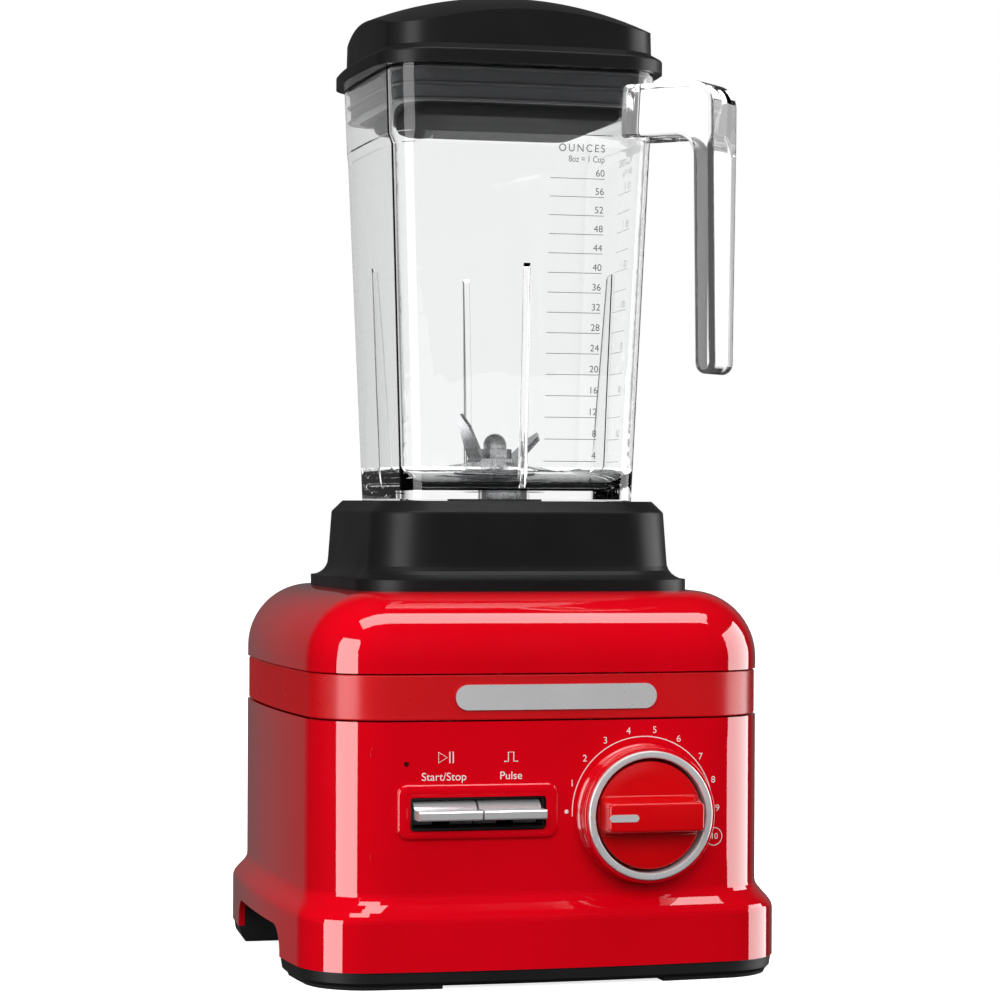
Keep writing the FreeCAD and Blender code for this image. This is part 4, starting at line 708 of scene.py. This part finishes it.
# measuring scales printed on the jar, in millimetres
jarScale = {"lineWidth": 0.28, "numberSize": 0.0044, "numberRise": 2.5,
            # heights of the lines: 60 down to 4 fluid ounces, and 1750 down to 125 millilitres
            "ounces": (357.2, 4, 15, 8.25, 0.137), "millilitres": (355.8, 125, 14, 8.9, 0.135),
            # where the lines start and end at the top, and how far each end has moved at the bottom
            "front": (9.7, 35.5, -1.1, -2.2), "right": (-28.6, -3.2, 2.6, 2.4),
            # words, place, text size, side that they line up on, width, letter spacing
            "frontWords": [("OUNCES", 35.5, 370.8, 0.0049, "RIGHT", 21.7, 1.35),
                           ("8oz = 1 Cup", 35.4, 365.9, 0.0041, "RIGHT", 17.0, 1.0)],
            "rightWords": [("MILLILITERS", -28.6, 370.2, 0.0045, "LEFT", 25.4, 1.1),
                           ("250ml = 1 Cup", -28.6, 365.2, 0.0040, "LEFT", 19.0, 1.0)]}


def scaleMarks(kind, ends, everySecond):
    top, step, count, gap, growth = jarScale[kind]
    marks = []
    z = top
    for i in range(count):
        share = i / (count - 1)
        start = ends[0] + ends[2] * share
        end = ends[1] + ends[3] * share
        line = [((start + (end - start) * k / 8) * mm, z * mm) for k in range(9)]
        marks.append(inkLine(line, jarScale["lineWidth"] * mm))
        level = (z + jarScale["numberRise"]) * mm
        size = jarScale["numberSize"]
        if not everySecond:
            marks.append(printText(str(step * (count - i)), end * mm, level, size, "number", "RIGHT"))
        elif i % 2 == 0:
            marks.append(printText(str(step * (count - i)), start * mm, level, size, "number", "LEFT"))
        z -= gap + growth * i
    return marks


def layOnJar(piece, way, lift=0.00008):
    # moves every point of a flat print against the jar, looking along way
    jar = nodes["jar"]
    for vert in piece.data.vertices:
        start = vert.co - way * (0.3 + vert.co.dot(way))
        spot = jar.ray_cast(start, way)[1]
        vert.co = spot - way * lift
    facing(piece, -way)


def scaleWords(rows):
    marks = []
    for words, x, z, size, align, width, spacing in rows:
        marks.append(printText(words, x * mm, z * mm, size, "word", align, width * mm, spacing))
    return marks


def printJar():
    bpy.context.view_layer.update()
    front = joinAll(scaleMarks("ounces", jarScale["front"], False) + scaleWords(jarScale["frontWords"]))
    layOnJar(front, Vector((0, 1, 0)))
    settle(front, "ounceScale", "satin_black", "jar", finish=scaleGrey)
    side = joinAll(scaleMarks("millilitres", jarScale["right"], True) + scaleWords(jarScale["rightWords"]))
    side.data.transform(Matrix.Translation((0, axisY, 0)) @ Matrix.Rotation(math.radians(90), 4, "Z"))
    layOnJar(side, Vector((-1, 0, 0)))
    settle(side, "millilitreScale", "satin_black", "jar", finish=scaleGrey)


printJar()
print("jar scales ready")


# studio
studio = {"place": (-0.3721, -1.4221, 0.2111), "lens": 113.29, "roll": -0.0044, "heading": -14.7, "shift": 0.001,
          "around": (0.10, 0.62), "backdropWay": (0.25, 0.968, 0.0), "backdropEdge": (0.60, 0.94),
          "rays": {"Is Glossy Ray": (0.01, 0.10), "Is Transmission Ray": (0.10, 1.0), "Is Camera Ray": (1.0, 1.0)},
          "fade": (-0.25, 0.55), "floor": 14.0, "floorGlow": 0.8,
          # name, place, height aimed at, width, height, watts, lights the shapes, shows in gloss
          "lamps": [("leftStrip", (-1.4381, -0.6941, 0.30), 0.30, 0.90, 1.6, 19, False, True),
                    ("rightStrip", (1.5939, -0.1322, 0.30), 0.30, 1.35, 1.6, 24, False, True),
                    ("topStrip", (0.0, -0.4527, 1.6), 0.15, 1.9, 0.55, 12, False, True),
                    ("frontKey", (-0.3, -2.2, 1.3), 0.2, 2.4, 1.8, 50, True, False),
                    ("leftFill", (-2.0, -0.0927, 0.6), 0.15, 1.6, 1.6, 26, True, False),
                    ("topFill", (0.1, 0.2, 2.3), 0.1, 2.2, 2.2, 22, True, False)]}


def addCamera():
    lens = bpy.data.cameras.new("camera")
    camera = bpy.data.objects.new("camera", lens)
    bpy.context.scene.collection.objects.link(camera)
    camera.location = studio["place"]
    camera.rotation_euler = (math.radians(90), studio["roll"], math.radians(studio["heading"]))
    lens.lens = studio["lens"]
    lens.sensor_width = 36.0
    lens.shift_y = studio["shift"]
    bpy.context.scene.camera = camera
    bpy.context.scene.view_settings.view_transform = "Standard"


def addBackdrop():
    # a white backdrop behind, dim all round: what gloss and clear plastic show differs from what lights the shapes
    world = bpy.data.worlds.new("studioLight")
    bpy.context.scene.world = world
    world.use_nodes = True
    tree = world.node_tree
    back = tree.nodes["Background"]
    back.inputs["Color"].default_value = (1, 1, 1, 1)
    link = tree.links.new
    way = addNode(tree, "ShaderNodeTexCoord")
    along = addNode(tree, "ShaderNodeVectorMath", {"operation": "DOT_PRODUCT"}, {1: studio["backdropWay"]})
    behind = addNode(tree, "ShaderNodeMapRange", {"interpolation_type": "SMOOTHSTEP"},
                     {"From Min": studio["backdropEdge"][0], "From Max": studio["backdropEdge"][1]})
    link(way.outputs["Generated"], along.inputs[0])
    link(along.outputs["Value"], behind.inputs["Value"])
    path = addNode(tree, "ShaderNodeLightPath")
    split = addNode(tree, "ShaderNodeSeparateXYZ")
    height = addNode(tree, "ShaderNodeMapRange", None,
                     {"From Min": studio["fade"][0], "From Max": studio["fade"][1],
                      "To Min": studio["around"][0], "To Max": studio["around"][1]})
    link(way.outputs["Generated"], split.inputs["Vector"])
    link(split.outputs["Z"], height.inputs["Value"])
    strength = height.outputs["Result"]
    for ray, (low, high) in studio["rays"].items():
        shown = addNode(tree, "ShaderNodeMapRange", None, {"To Min": low, "To Max": high})
        link(behind.outputs["Result"], shown.inputs["Value"])
        pick = addNode(tree, "ShaderNodeMix", {"data_type": "FLOAT"})
        link(path.outputs[ray], pick.inputs["Factor"])
        link(strength, pick.inputs["A"])
        link(shown.outputs["Result"], pick.inputs["B"])
        strength = pick.outputs["Result"]
    link(strength, back.inputs["Strength"])


def addFloor():
    bpy.ops.object.select_all(action="DESELECT")
    bpy.ops.mesh.primitive_plane_add(size=studio["floor"])
    floor = bpy.context.object
    floor.name = "floor"
    pale = solidFinish("paleFloor", (0.9, 0.9, 0.9), (0.88, 0.88, 0.88), (0.7, 0.8), (60.0, 0.05, 0.0005),
                       {"Emission Color": (1, 1, 1, 1), "Emission Strength": studio["floorGlow"]})
    floor.data.materials.append(pale)
    floor.visible_glossy = False
    floor.visible_diffuse = False


def addLamp(name, place, aimed, width, height, watts, diffuse, glossy):
    data = bpy.data.lights.new(name, "AREA")
    data.shape = "RECTANGLE"
    data.size = width
    data.size_y = height
    data.energy = watts
    lamp = bpy.data.objects.new(name, data)
    bpy.context.scene.collection.objects.link(lamp)
    lamp.location = place
    lamp.rotation_euler = (Vector((0, axisY, aimed)) - Vector(place)).to_track_quat("-Z", "Y").to_euler()
    lamp.visible_camera = False
    lamp.visible_diffuse = diffuse
    lamp.visible_glossy = glossy
    lamp.visible_transmission = False


addCamera()
addBackdrop()
addFloor()
for row in studio["lamps"]:
    addLamp(*row)
print("studio ready")
